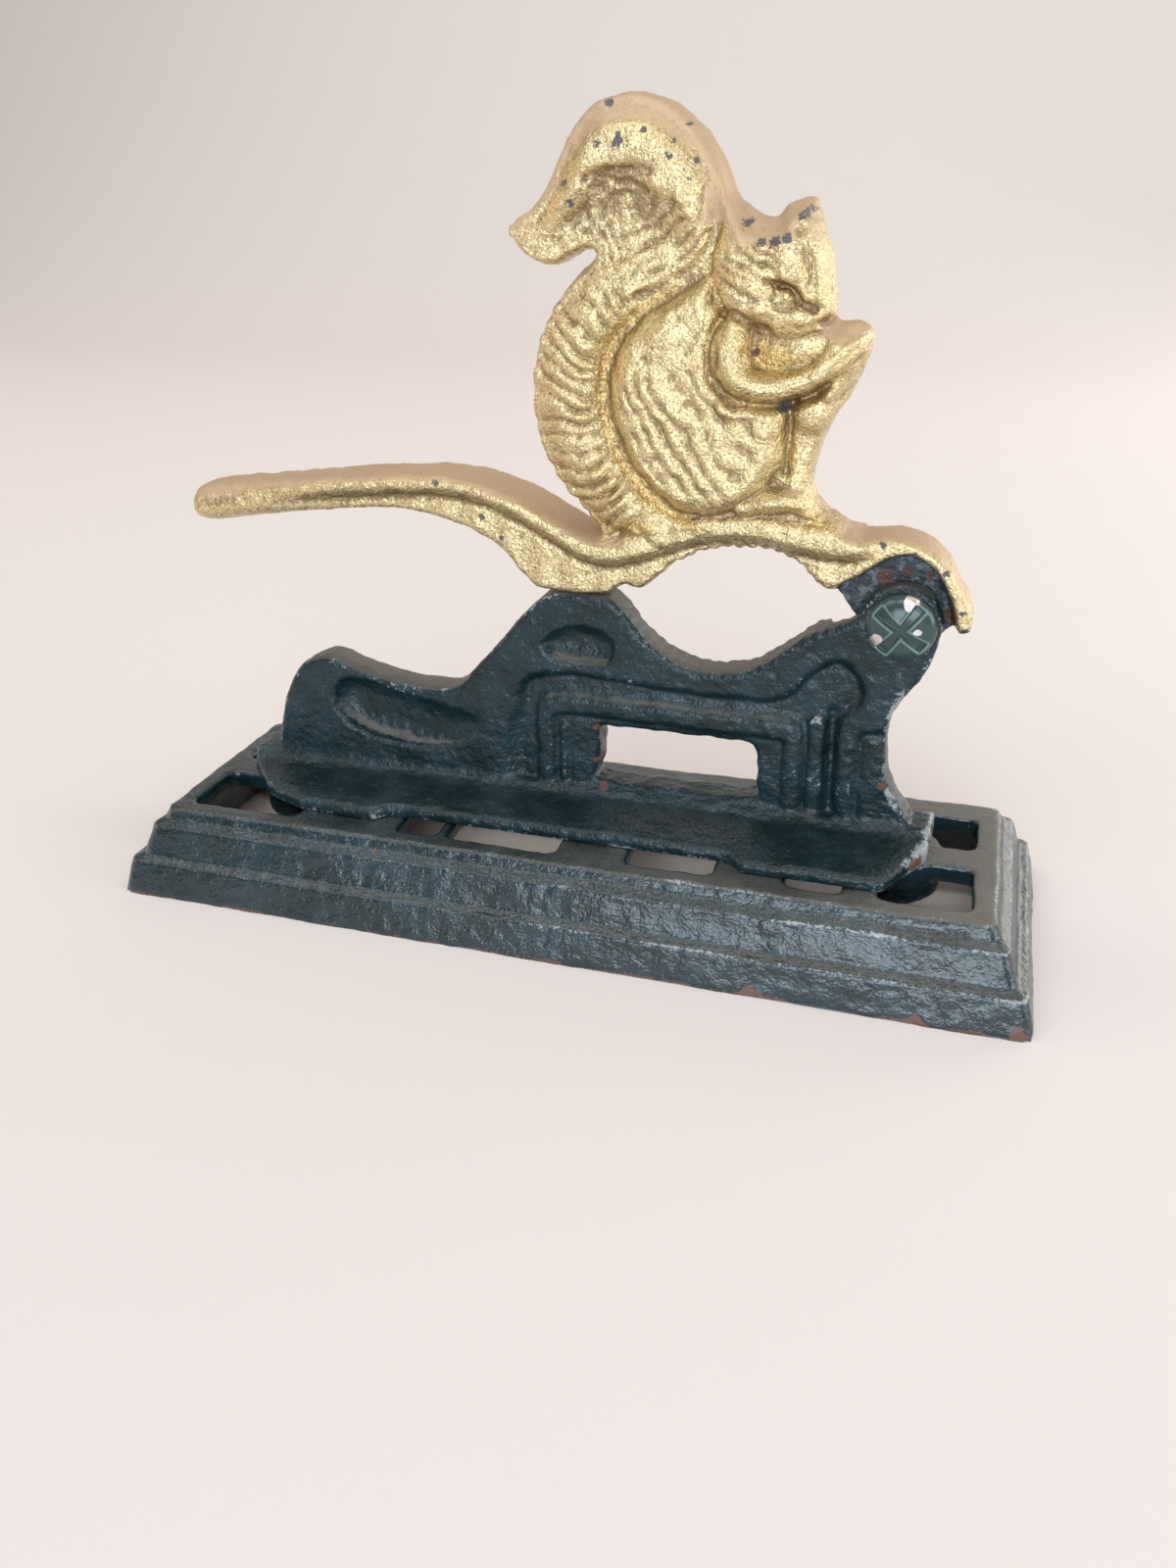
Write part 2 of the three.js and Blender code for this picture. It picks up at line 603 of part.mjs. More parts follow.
/** Lever: handle, toothed jaw, hood and tang, with the squirrel standing on it. */
function makeLever() {
  const top = smoothRun(handleTopShares.map(onLever));
  const bottom = smoothRun(handleBottomShares.map(onLever));
  const outline = polygon([...top, ...bottom]);
  const web = slab(outline, frameFrontY, frameBackY, frameEdgeRound);
  const wide = slab(outline, lapY - handleWidth / 2, lapY + handleWidth / 2, handleEdgeRound);
  const grooveTop = top.map((p) => {
    const fromTip = Math.min((p.x - top[0].x) / grooveRunout, 1);
    return new THREE.Vector2(p.x, p.y - THREE.MathUtils.lerp(handleWidth, beadHeight, fromTip));
  });
  const underBead = slab(
    polygon([
      ...grooveTop,
      new THREE.Vector2(pivotX + hoodRadius, peakZ - leverRise),
      new THREE.Vector2(top[0].x, peakZ - leverRise),
    ]),
    lapY - handleWidth, lapY + handleWidth);
  const bead = wide.subtract(underBead);
  const polar = (turn, radius) => new THREE.Vector2(
    pivotX + radius * Math.cos(THREE.MathUtils.degToRad(turn)),
    pivotZ + radius * Math.sin(THREE.MathUtils.degToRad(turn)));
  const hoodOutside = hoodShares.map(({ turn, outer }) => polar(turn, outer * hoodRadius));
  const hoodInside = hoodShares.map(({ turn, inner }) => polar(turn, inner * hoodRadius)).reverse();
  const hoodOutline = polygon([
    ...smoothRun(hoodOutside),
    ...smoothRun(hoodInside),
  ]);
  const hood = slab(hoodOutline, lapY - hoodWidth / 2, lapY + hoodWidth / 2, frameEdgeRound);
  const tangOutline = polygon(tangShares.map(([x, z]) => new THREE.Vector2(
    pivotX + x * hoodRadius, pivotZ + z * hoodRadius)));
  const tang = joined([
    slab(tangOutline, lapY + turnGap, frameBackY),
    turnedAboutY([[0, lapY + turnGap], [tangRadius, lapY + turnGap], [tangRadius, frameBackY], [0, frameBackY]],
      pivotX, pivotZ),
  ]);
  const bore = turnedAboutY([
    [0, frameFrontY - cutOverrun], [pivotBore / 2, frameFrontY - cutOverrun],
    [pivotBore / 2, frameBackY + cutOverrun], [0, frameBackY + cutOverrun],
  ], pivotX, pivotZ);
  const jawTeeth = teeth(
    handleBottomShares.slice(1, 8).map(onLever), frameFrontY, frameBackY);
  return cutBy(joined([web, bead, hood, tang, makeSquirrel()]), [bore, ...jawTeeth]);
}

/** Squirrel: a flat body with rounded lobes, the same on both faces. */
function makeSquirrel() {
  const sheet = slab(
    smoothShape(figureOutlineShares.map(onFigure)),
    lapY - figureSheet / 2, lapY + figureSheet / 2, figureSheet / 3);
  const lobe = ({ at, size, depth, turn }) => {
    const centre = onFigure(at);
    return ellipsoid(
      new THREE.Vector3(centre.x, lapY, centre.y),
      new THREE.Vector3(size[0] * figureWidth, depth * figureDepth / 2, size[1] * figureHeight), turn);
  };
  const stations = (list) => list.map(({ at, wide }) => {
    const p = onFigure(at);
    return { x: p.x, z: p.y, half: wide * figureWidth };
  });
  const limbDepth = figureDepth / figureWidth;
  const tail = limb(stations(tailShares), lapY, limbDepth * limbShares.tail);
  const plume = limb(stations(plumeShares), lapY, limbDepth * limbShares.plume);
  const arms = [-1, 1].map((side) => limb(
    stations(armShares), lapY + side * figureDepth * limbShares.armSpread, limbDepth * limbShares.arm));
  const ears = [-1, 1].map((side) => {
    const at = onFigure(earShares.at);
    return ellipsoid(
      new THREE.Vector3(at.x, lapY + side * earShares.spread * figureDepth / 2, at.y),
      new THREE.Vector3(
        earShares.size[0] * figureWidth, earShares.depth * figureDepth, earShares.size[1] * figureHeight),
      0);
  });
  return joined([sheet, ...Object.values(lobeShares).map(lobe), tail, plume, ...arms, ...ears]);
}

/** Pivot screw: a domed cross-head screw that passes through the ear and the tang. */
function makePivotScrew() {
  const headBackY = frameFrontY - seatGap;
  const headFrontY = headBackY - pivotHeadHeight;
  const headRadius = pivotHeadDiameter / 2;
  const endY = nutBackY + threadOverhang;
  const dome = [];
  for (let i = 0; i <= domeSteps; i += 1) {
    const angle = (i / domeSteps) * Math.PI / 2;
    const rise = 1 - domeShare + domeShare * Math.cos(angle);
    dome.push([headRadius * Math.sin(angle), headBackY - pivotHeadHeight * rise]);
  }
  const body = turnedAboutY([
    ...dome, [headRadius, headBackY], [pivotShank / 2, headBackY], [pivotShank / 2, endY], [0, endY],
  ], pivotX, pivotZ);
  const arms = [1, -1].map((side) => {
    const geometry = new THREE.BoxGeometry(pivotHeadDiameter * pivotCrossShare, pivotSlotDepth, pivotSlotWidth);
    geometry.rotateY(side * Math.PI / 4);
    geometry.translate(pivotX, headFrontY + pivotSlotDepth / 2, pivotZ);
    return solidOf(geometry);
  });
  return cutBy(body, arms);
}

/** Flat washer on the pivot screw, behind the tang. */
function makePivotWasher() {
  return turnedAboutY([
    [pivotBore / 2, washerFrontY], [pivotWasherDiameter / 2, washerFrontY],
    [pivotWasherDiameter / 2, washerFrontY + pivotWasherThickness],
    [pivotBore / 2, washerFrontY + pivotWasherThickness], [pivotBore / 2, washerFrontY],
  ], pivotX, pivotZ);
}

/** Hexagon nut that closes the pivot screw. */
function makePivotNut() {
  const corners = [];
  for (let i = 0; i < 6; i += 1) {
    const angle = (i + 0.5) * Math.PI / 3;
    const radius = pivotNutAcross / 2 / Math.cos(Math.PI / 6);
    corners.push(new THREE.Vector2(pivotX + radius * Math.cos(angle), pivotZ + radius * Math.sin(angle)));
  }
  const hexagon = slab(polygon(corners), nutBackY - pivotNutHeight, nutBackY, frameEdgeRound / 3);
  const thread = turnedAboutY([
    [0, nutBackY - pivotNutHeight - cutOverrun],
    [pivotShank / 2 + threadGap, nutBackY - pivotNutHeight - cutOverrun],
    [pivotShank / 2 + threadGap, nutBackY + cutOverrun], [0, nutBackY + cutOverrun],
  ], pivotX, pivotZ);
  return cutBy(hexagon, [thread]);
}

/** Pan-head screw that holds the frame down from below the base. */
function makeBaseScrew(x) {
  const headTopZ = bossBottomZ - seatGap - screwWasherThickness - seatGap;
  const headRadius = screwHeadDiameter / 2;
  const headLowZ = headTopZ - screwHeadHeight;
  const endZ = baseHeight + screwGrip - seatGap;
  const body = turnedAboutZ([
    [0, headLowZ],
    ...panShares.map(([across, up]) => [across * headRadius, headLowZ + up * screwHeadHeight]),
    [screwShank / 2, headTopZ], [screwShank / 2, endZ], [0, endZ],
  ], x, screwY);
  const arms = [0, 1].map((quarter) => {
    const geometry = new THREE.BoxGeometry(screwHeadDiameter * screwCrossShare, screwSlotWidth, screwSlotDepth);
    geometry.rotateZ(quarter * Math.PI / 2);
    geometry.translate(x, screwY, headLowZ + screwSlotDepth / 2);
    return solidOf(geometry);
  });
  return cutBy(body, arms);
}

/** Flat washer under a base screw's head. */
function makeBaseWasher(x) {
  const topZ = bossBottomZ - seatGap;
  return turnedAboutZ([
    [screwBore / 2, topZ - screwWasherThickness], [screwWasherDiameter / 2, topZ - screwWasherThickness],
    [screwWasherDiameter / 2, topZ], [screwBore / 2, topZ], [screwBore / 2, topZ - screwWasherThickness],
  ], x, screwY);
}

// Finishes
const castPaint = { color: 0x1f3d40, roughness: 0.42, metalness: 0.1 };
const goldPaint = { color: 0xc9a861, roughness: 0.38, metalness: 0.75 };
const zincPlate = { color: 0xb9bcbe, roughness: 0.35, metalness: 0.9 };

const press = new THREE.Group();

/** Add one named piece to the press. */
function add(name, solid, finish) {
  const mesh = new THREE.Mesh(geometryOf(solid), new THREE.MeshStandardMaterial(finish));
  mesh.name = name;
  press.add(mesh);
}

add("tiered_base", makeBase(), castPaint);
add("anvil_frame", makeFrame(), castPaint);
add("squirrel_lever", makeLever(), goldPaint);
add("pivot_screw", makePivotScrew(), castPaint);
add("pivot_washer", makePivotWasher(), zincPlate);
add("pivot_nut", makePivotNut(), zincPlate);
for (const [end, side] of [["handle", -1], ["pivot", 1]]) {
  const x = side * bossSpacing / 2;
  add(`base_screw_${end}_end`, makeBaseScrew(x), zincPlate);
  add(`base_washer_${end}_end`, makeBaseWasher(x), zincPlate);
}

export default press;
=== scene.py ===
"""Lever nutcracker press with a squirrel: the visible castings, fasteners and paint.

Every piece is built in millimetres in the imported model's own frame and stored in metres, so it stands
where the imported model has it.
"""

import logging
import math
from dataclasses import dataclass, field
from enum import Enum
from typing import Any, Optional, Sequence, Union

import bmesh
import bpy
import numpy as np
from mathutils import Matrix, Vector, noise

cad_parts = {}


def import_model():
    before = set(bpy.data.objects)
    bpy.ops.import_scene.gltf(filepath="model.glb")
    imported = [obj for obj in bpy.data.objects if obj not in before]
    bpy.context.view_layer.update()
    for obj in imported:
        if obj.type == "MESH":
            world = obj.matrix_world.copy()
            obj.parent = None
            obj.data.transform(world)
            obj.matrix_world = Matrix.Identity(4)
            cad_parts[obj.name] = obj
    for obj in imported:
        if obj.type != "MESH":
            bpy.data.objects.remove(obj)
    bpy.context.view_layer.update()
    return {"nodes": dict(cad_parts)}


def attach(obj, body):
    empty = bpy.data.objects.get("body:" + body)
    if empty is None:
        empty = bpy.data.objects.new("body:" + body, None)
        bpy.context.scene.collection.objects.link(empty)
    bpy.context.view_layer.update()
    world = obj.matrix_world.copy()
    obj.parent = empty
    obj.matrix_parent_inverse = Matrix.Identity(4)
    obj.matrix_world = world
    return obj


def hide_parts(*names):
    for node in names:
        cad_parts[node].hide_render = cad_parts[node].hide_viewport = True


LOG = logging.getLogger("press")
MM = 0.001
Array = np.ndarray
Pair = tuple[float, float]
Triple = tuple[float, float, float]
Line = tuple[Pair, ...]
Groove = tuple[Line, float, float]
Value = Union[float, "Link"]
FULL_TURN = np.linspace(0, math.tau, 33)[:-1]
FAR = 99.0
BATCH = 6000
EDGE_STEPS = 6
REACH = 24.0


class Body(Enum):
    """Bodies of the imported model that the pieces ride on."""

    STAND = "stand"
    LEVER = "lever"


class Slot(Enum):
    """Material slots of the record."""

    CAST = "cast_paint"
    GOLD = "gold_paint"
    ZINC = "zinc_plate"


# Curves and soft edges

def smooth_run(points: Sequence[Sequence[float]], steps: int = 10, closed: bool = False) -> Array:
    """Run a smooth curve through points.

    Args:
        points: Corners of any dimension.
        steps: Samples from one corner to the next.
        closed: Whether the last corner joins the first.

    Returns:
        The samples, one a row.
    """
    given = np.asarray(points, float)
    if closed:
        padded = np.vstack([given[-1:], given, given[:2]])
    else:
        padded = np.vstack([2 * given[0] - given[1], given, 2 * given[-1] - given[-2]])
    share = np.linspace(0, 1, steps, endpoint=False)[:, None]
    runs = []
    for i in range(1, len(padded) - 2):
        before, here, after, beyond = padded[i - 1:i + 3]
        runs.append(0.5 * (
            2 * here + (after - before) * share
            + (2 * before - 5 * here + 4 * after - beyond) * share ** 2
            + (3 * here - before - 3 * after + beyond) * share ** 3))
    if not closed:
        runs.append(given[-1:])
    return np.vstack(runs)


def toothed(points: Sequence[Pair], pitch: float, depth: float, steps: int = 14) -> Array:
    """Run a smooth edge through points with scallops along it, fading at both ends.

    Args:
        points: Corners in millimetres, with the solid on the right.
        pitch: Length of one scallop.
        depth: Depth of the notches between them.
        steps: Samples from one corner to the next.

    Returns:
        The samples, one a row.
    """
    line = smooth_run(points, steps)
    step = np.gradient(line, axis=0)
    length = np.linalg.norm(step, axis=1)
    run = np.concatenate([[0], np.cumsum(np.linalg.norm(np.diff(line, axis=0), axis=1))])
    outward = np.stack([-step[:, 1], step[:, 0]], -1) / length[:, None]
    fade = rise(2, 5, run) * rise(2, 5, run[-1] - run)
    wave = (np.abs(np.sin(np.pi * run / pitch)) - 0.6) * depth * fade
    return line + outward * wave[:, None]


def rise(low: float, high: float, value: Array) -> Array:
    """Go smoothly from 0 at low to 1 at high."""
    share = np.clip((value - low) / (high - low), 0, 1)
    return share * share * (3 - 2 * share)


def round_up(share: Array) -> Array:
    """Go from 0 to 1 along a quarter of a circle, steep at 0."""
    return np.sqrt(np.clip(1 - (1 - np.clip(share, 0, 1)) ** 2, 0, 1))


def soft_max(one: Array, other: Array, reach: float) -> Array:
    """Take the larger of two heights with a fillet of about the given reach."""
    return 0.5 * (one + other + np.sqrt((one - other) ** 2 + reach * reach))


def between(one: Array, other: Array, share: Array) -> Array:
    """Go from one value to another by a share."""
    return one * (1 - share) + other * share


def grain(x: Array, z: Array, size: float, seed: int, y: Optional[Array] = None) -> Array:
    """Sample smooth noise at points.

    Args:
        x: First coordinates in millimetres.
        z: Second coordinates in millimetres.
        size: Width of a grain in millimetres.
        seed: Which grain to take.
        y: Third coordinates, where the noise fills space.

    Returns:
        Noise of about -0.6 to 0.6 at each point.
    """
    depth = np.zeros_like(x) if y is None else y
    return np.array([
        noise.noise(Vector((a / size + 17.3 * seed, b / size - 9.1 * seed, c / size + 3.7 * seed)))
        for a, b, c in zip(x.tolist(), z.tolist(), depth.tolist())])


class Path:
    """A curve in the XZ plane that relief follows."""

    def __init__(self, points: Sequence[Pair], steps: int = 10, closed: bool = False) -> None:
        """Sample the curve.

        Args:
            points: Corners in millimetres.
            steps: Samples from one corner to the next.
            closed: Whether the curve closes.
        """
        self.line = smooth_run(points, steps, closed)
        if closed:
            self.line = np.vstack([self.line, self.line[:1]])
        self.steps = steps
        self.spans = len(self.line) - 1
        self.lengths = np.linalg.norm(np.diff(self.line, axis=0), axis=1)
        self.starts = np.concatenate([[0], np.cumsum(self.lengths)])

    def measure(self, x: Array, z: Array, reach: float = REACH) -> tuple[Array, Array, Array, Array]:
        """Measure points against the curve.

        Args:
            x: X of each point.
            z: Z of each point.
            reach: How far from the curve's box points are measured; the rest count as far away.

        Returns:
            Distance, length along the curve, side (positive on the left) and corner share.
        """
        low, high = self.line.min(0) - reach, self.line.max(0) + reach
        close = np.flatnonzero((x > low[0]) & (x < high[0]) & (z > low[1]) & (z < high[1]))
        where = np.stack([x[close], z[close]], -1)
        start = self.line[:-1]
        run = self.line[1:] - start
        square = np.maximum((run ** 2).sum(-1), 1e-9)
        found = [np.full(len(x), FAR), np.zeros(len(x)), np.ones(len(x)), np.zeros(len(x))]
        for first in range(0, len(where), BATCH):
            part = where[first:first + BATCH, None, :] - start[None]
            share = np.clip((part * run).sum(-1) / square, 0, 1)
            away = part - share[..., None] * run
            distance = (away ** 2).sum(-1)
            nearest = distance.argmin(1)
            row = np.arange(len(nearest))
            picked = share[row, nearest]
            offset = part[row, nearest]
            turn = run[nearest, 0] * offset[:, 1] - run[nearest, 1] * offset[:, 0]
            target = close[first:first + BATCH]
            found[0][target] = np.sqrt(distance[row, nearest])
            found[1][target] = self.starts[nearest] + picked * self.lengths[nearest]
            found[2][target] = np.sign(turn)
            found[3][target] = (nearest + picked) / self.steps
        return tuple(found)

    def beside(self, x: Array, z: Array, reach: float = REACH) -> Array:
        """Measure points from the curve, positive on its left."""
        distance, _, side, _ = self.measure(x, z, reach)
        return distance * side

    def inward(self, x: Array, z: Array, reach: float = REACH) -> Array:
        """Measure how far points lie inside a closed curve.

        Args:
            x: X of each point.
            z: Z of each point.
            reach: How far outside the curve's box points are measured.

        Returns:
            Distances, negative outside.
        """
        distance, _, side, _ = self.measure(x, z, reach)
        near = np.roll(self.line[:-1], -1, 0)
        area = (self.line[:-1, 0] * near[:, 1] - near[:, 0] * self.line[:-1, 1]).sum()
        return np.where(distance >= FAR, -FAR, distance * side * np.sign(area))


@dataclass(frozen=True)
class Limb:
    """A rounded form along a curve, such as a tail or an arm."""

    points: Line
    halves: tuple[float, ...]
    heights: tuple[float, ...]
    foot: float = 2.0
    fullness: float = 0.5

    def height(self, x: Array, z: Array) -> Array:
        """Work out the form's height over the middle plane.

        Args:
            x: X of each corner.
            z: Z of each corner.

        Returns:
            Heights in millimetres.
        """
        distance, _, _, corner = Path(self.points).measure(x, z)
        half = np.interp(corner, range(len(self.halves)), self.halves)
        top = np.interp(corner, range(len(self.heights)), self.heights)
        return self.foot + (top - self.foot) * np.clip(1 - (distance / half) ** 2, 0, 1) ** self.fullness


@dataclass(frozen=True)
class Pillow:
    """A rounded oval form, such as a head or a haunch."""

    centre: Pair
    half: Pair
    top: float
    turn: float = 0.0
    foot: float = 2.0
    power: float = 2.3
    fullness: float = 0.5

    def reach(self, x: Array, z: Array) -> Array:
        """Measure corners against the oval.

        Args:
            x: X of each corner.
            z: Z of each corner.

        Returns:
            0 at the centre, 1 on the rim and more outside.
        """
        c, s = math.cos(self.turn), math.sin(self.turn)
        across, up = x - self.centre[0], z - self.centre[1]
        one = (c * across + s * up) / self.half[0]
        other = (c * up - s * across) / self.half[1]
        return np.sqrt(one * one + other * other)

    def height(self, x: Array, z: Array) -> Array:
        """Work out the form's height over the middle plane.

        Args:
            x: X of each corner.
            z: Z of each corner.

        Returns:
            Heights in millimetres.
        """
        fall = np.clip(1 - self.reach(x, z) ** self.power, 0, 1) ** self.fullness
        return self.foot + (self.top - self.foot) * fall


def bump(distance: Array, half: float) -> Array:
    """Make a smooth ridge of height 1 and the given half width."""
    return np.clip(1 - (distance / half) ** 2, 0, 1) ** 2


def seam(line: Line, x: Array, z: Array, half: float, reach: float = REACH) -> Array:
    """Make a smooth ridge of height 1 along a line."""
    return bump(Path(line).measure(x, z, reach)[0], half)


@dataclass(frozen=True)
class Spot:
    """A soft spot, round or squashed, where a surface or its paint changes."""

    x: float
    z: float
    half: float
    strength: float = 1.0
    squash: Pair = (1.0, 1.0)

    def share(self, x: Array, z: Array) -> Array:
        """Work out how strong the spot is at each corner."""
        away = np.hypot((x - self.x) * self.squash[0], (z - self.z) * self.squash[1])
        return self.strength * bump(away, self.half)


def spotted(spots: Sequence[Spot], x: Array, z: Array) -> Array:
    """Add up spots."""
    return sum(spot.share(x, z) for spot in spots)


def looked_up(value: Array, table: Line) -> Array:
    """Read values from a table of pairs, straight from one pair to the next."""
    return np.interp(value, *zip(*table))


def within(outline: Line, x: Array, z: Array, steps: int = 4, reach: float = REACH) -> Array:
    """Measure how far points lie inside a smooth closed outline."""
    return Path(outline, steps, True).inward(x, z, reach)


def edge_gap(loop: Array, x: Array, z: Array) -> Array:
    """Measure how far points are from a closed loop of straight runs."""
    return Path(loop, steps=1, closed=True).measure(x, z)[0]


def arc(centre: Pair, radius: float, angles: Array) -> Array:
    """Place corners round a centre, at angles in radians."""
    return np.stack([centre[0] + radius * np.cos(angles), centre[1] + radius * np.sin(angles)], -1)


def combed(phase: Array, sharpness: float = 0.7) -> Array:
    """Turn a phase into rounded ridges with narrow valleys, of mean about 0."""
    return np.abs(np.sin(np.pi * phase)) ** sharpness - 0.7


# Meshes

def store(name: str, bm: bmesh.types.BMesh, smooth: bool = True) -> bpy.types.Object:
    """Keep a mesh as an object at the origin.

    Args:
        name: Name of the piece.
        bm: Mesh in metres; it is freed.
        smooth: Whether its faces are shaded smooth.

    Returns:
        The object, linked to the scene.
    """
    mesh = bpy.data.meshes.new(name)
    for face in bm.faces:
        face.smooth = smooth
    bm.to_mesh(mesh)
    bm.free()
    obj = bpy.data.objects.new(name, mesh)
    bpy.context.scene.collection.objects.link(obj)
    return obj


def block(loops: Sequence[Array], low: float, high: float, upright: bool = True) -> bmesh.types.BMesh:
    """Extrude outlines into a closed block.

    Args:
        loops: Closed outlines in millimetres; the ones after the first are holes.
        low: Where the block starts along the third axis, in millimetres.
        high: Where it ends.
        upright: True for outlines in the XZ plane, False for outlines in the XY plane.

    Returns:
        The block's mesh, in metres.
    """
    bm = bmesh.new()
    for loop in loops:
        corners = [
            bm.verts.new(Vector((a, low, b) if upright else (a, b, low)) * MM) for a, b in loop]
        for i, corner in enumerate(corners):
            bm.edges.new((corner, corners[(i + 1) % len(corners)]))
    bmesh.ops.triangle_fill(bm, use_beauty=True, use_dissolve=False, edges=bm.edges[:])
    grown = bmesh.ops.extrude_face_region(bm, geom=bm.faces[:], use_keep_orig=True)
    raised = [item for item in grown["geom"] if isinstance(item, bmesh.types.BMVert)]
    step = Vector((0, high - low, 0) if upright else (0, 0, high - low)) * MM
    bmesh.ops.translate(bm, vec=step, verts=raised)
    bmesh.ops.recalc_face_normals(bm, faces=bm.faces[:])
    return bm


def turned(profile: Sequence[Pair], centre: Pair, sides: int, along_y: bool = True) -> bmesh.types.BMesh:
    """Spin a profile into a closed solid.

    Args:
        profile: Pairs of radius and place along the axis, in millimetres.
        centre: The axis's X and Z, or X and Y where it is upright.
        sides: Facets round the axis.
        along_y: True for an axis along Y, False for an upright one.

    Returns:
        The solid's mesh, in metres.
    """
    bm = bmesh.new()
    middle = Vector((centre[0], 0, centre[1]) if along_y else (centre[0], centre[1], 0))
    axis = Vector((0, 1, 0) if along_y else (0, 0, 1))
    corners = [
        bm.verts.new((middle + Vector((radius, 0, 0)) + axis * place) * MM) for radius, place in profile]
    edges = [bm.edges.new(pair) for pair in zip(corners, corners[1:])]
    bmesh.ops.spin(
        bm, geom=corners + edges, cent=middle * MM, axis=axis, dvec=(0, 0, 0), angle=math.tau, steps=sides,
        use_merge=True, use_normal_flip=False, use_duplicate=False)
    bmesh.ops.remove_doubles(bm, verts=bm.verts[:], dist=1e-6)
    bmesh.ops.recalc_face_normals(bm, faces=bm.faces[:])
    return bm


def recast(obj: bpy.types.Object, voxel: float) -> None:
    """Give an object an even mesh of small quads.

    Args:
        obj: A closed object.
        voxel: Size of the quads in millimetres.
    """
    modifier = obj.modifiers.new("even", "REMESH")
    modifier.mode = "VOXEL"
    modifier.voxel_size = voxel * MM
    modifier.use_smooth_shade = True
    graph = bpy.context.evaluated_depsgraph_get()
    even = bpy.data.meshes.new_from_object(obj.evaluated_get(graph))
    obj.modifiers.clear()
    even.name = obj.name
    obj.data = even


def join_meshes(keeper: bpy.types.Object, other: bpy.types.Object) -> None:
    """Put another object's mesh into one and remove the other object.

    Args:
        keeper: The object that gets both meshes.
        other: The object that goes.
    """
    bm = bmesh.new()
    bm.from_mesh(keeper.data)
    bm.from_mesh(other.data)
    bm.to_mesh(keeper.data)
    bm.free()
    bpy.data.objects.remove(other)


class Skin:
    """The corners of a mesh as arrays, for shaping by moves."""

    def __init__(self, obj: bpy.types.Object) -> None:
        """Read an object's corners and edges.

        Args:
            obj: The object.
        """
        self.mesh = obj.data
        count = len(self.mesh.vertices)
        flat = np.empty(count * 3, np.float32)
        self.mesh.vertices.foreach_get("co", flat)
        self.at = flat.reshape(-1, 3).astype(float) / MM
        ends = np.empty(len(self.mesh.edges) * 2, np.int32)
        self.mesh.edges.foreach_get("vertices", ends)
        self.ends = ends.reshape(-1, 2)
        self.neighbours = np.maximum(np.bincount(self.ends.ravel(), minlength=count), 1)

    def normals(self) -> Array:
        """Read the corners' normals from the mesh as it was last stored.

        Returns:
            One normal a row.
        """
        flat = np.empty(len(self.mesh.vertices) * 3, np.float32)
        self.mesh.vertices.foreach_get("normal", flat)
        return flat.reshape(-1, 3).astype(float)

    def averaged(self, values: Array, rounds: int = 1) -> Array:
        """Average values over neighbouring corners.

        Args:
            values: One value or one row of values for each corner.
            rounds: How often.

        Returns:
            The averaged values.
        """
        low, high = self.ends.T
        count = len(self.neighbours)
        for _ in range(rounds):
            columns = values[:, None] if values.ndim == 1 else values
            total = np.stack([
                np.bincount(low, column[high], count) + np.bincount(high, column[low], count)
                for column in columns.T], -1)
            mixed = 0.5 * columns + 0.5 * total / self.neighbours[:, None]
            values = mixed[:, 0] if values.ndim == 1 else mixed
        return values

    def relax(self, rounds: int, weight: Optional[Array] = None) -> None:
        """Smooth the corners' places.

        Args:
            rounds: How often.
            weight: Share of the move for each corner.
        """
        moved = self.averaged(self.at, rounds)
        self.at = moved if weight is None else self.at + (moved - self.at) * weight[:, None]

    def swell(self, heights: Array) -> None:
        """Move the corners along their normals as last stored."""
        self.at += self.normals() * heights[:, None]

    def store(self) -> None:
        """Write the corners back."""
        self.mesh.vertices.foreach_set("co", (self.at * MM).astype(np.float32).ravel())
        self.mesh.update()

    def hollows(self, rounds: int) -> Array:
        """Work out how hollow (positive) or proud (negative) the surface is at each corner."""
        drawn = self.averaged(self.at, rounds)
        return ((drawn - self.at) * self.normals()).sum(-1)

    def mark(self, name: str, values: Array) -> None:
        """Keep a value for each corner, for the paint to read."""
        layer = self.mesh.attributes.new(name, "FLOAT", "POINT")
        layer.data.foreach_set("value", values.astype(np.float32))


# Paint

class Link:
    """A node's output that Python's operators work on."""

    def __init__(self, tree: "Tree", socket: bpy.types.NodeSocket) -> None:
        """Wrap a socket of a tree."""
        self.tree = tree
        self.socket = socket

    def _math(self, operation: str, *others: Value, first: Optional[Value] = None) -> "Link":
        """Add a Math node.

        Args:
            operation: The node's operation.
            others: Operands after this one.
            first: Operand before this one, if any.

        Returns:
            The node's value.
        """
        operands = ([] if first is None else [first]) + [self, *others]
        return self.tree.node(
            "ShaderNodeMath", {"operation": operation}, dict(enumerate(operands)))

    def __add__(self, other: Value) -> "Link":
        """Add."""
        return self._math("ADD", other)

    __radd__ = __add__

    def __sub__(self, other: Value) -> "Link":
        """Subtract."""
        return self._math("SUBTRACT", other)

    def __rsub__(self, other: Value) -> "Link":
        """Subtract from a number."""
        return self._math("SUBTRACT", first=other)

    def __mul__(self, other: Value) -> "Link":
        """Multiply."""
        return self._math("MULTIPLY", other)

    __rmul__ = __mul__

    def clamped(self) -> "Link":
        """Keep between 0 and 1."""
        return self.tree.node(
            "ShaderNodeMath", {"operation": "ADD", "use_clamp": True}, {0: self, 1: 0.0})

    def step(self, low: float, high: float) -> "Link":
        """Go smoothly from 0 at low to 1 at high; from 1 to 0 where low is the larger."""
        ends = (low, high, 0.0, 1.0) if low < high else (high, low, 1.0, 0.0)
        return self.tree.node(
            "ShaderNodeMapRange", {"interpolation_type": "SMOOTHSTEP"},
            {"Value": self, "From Min": ends[0], "From Max": ends[1], "To Min": ends[2], "To Max": ends[3]})


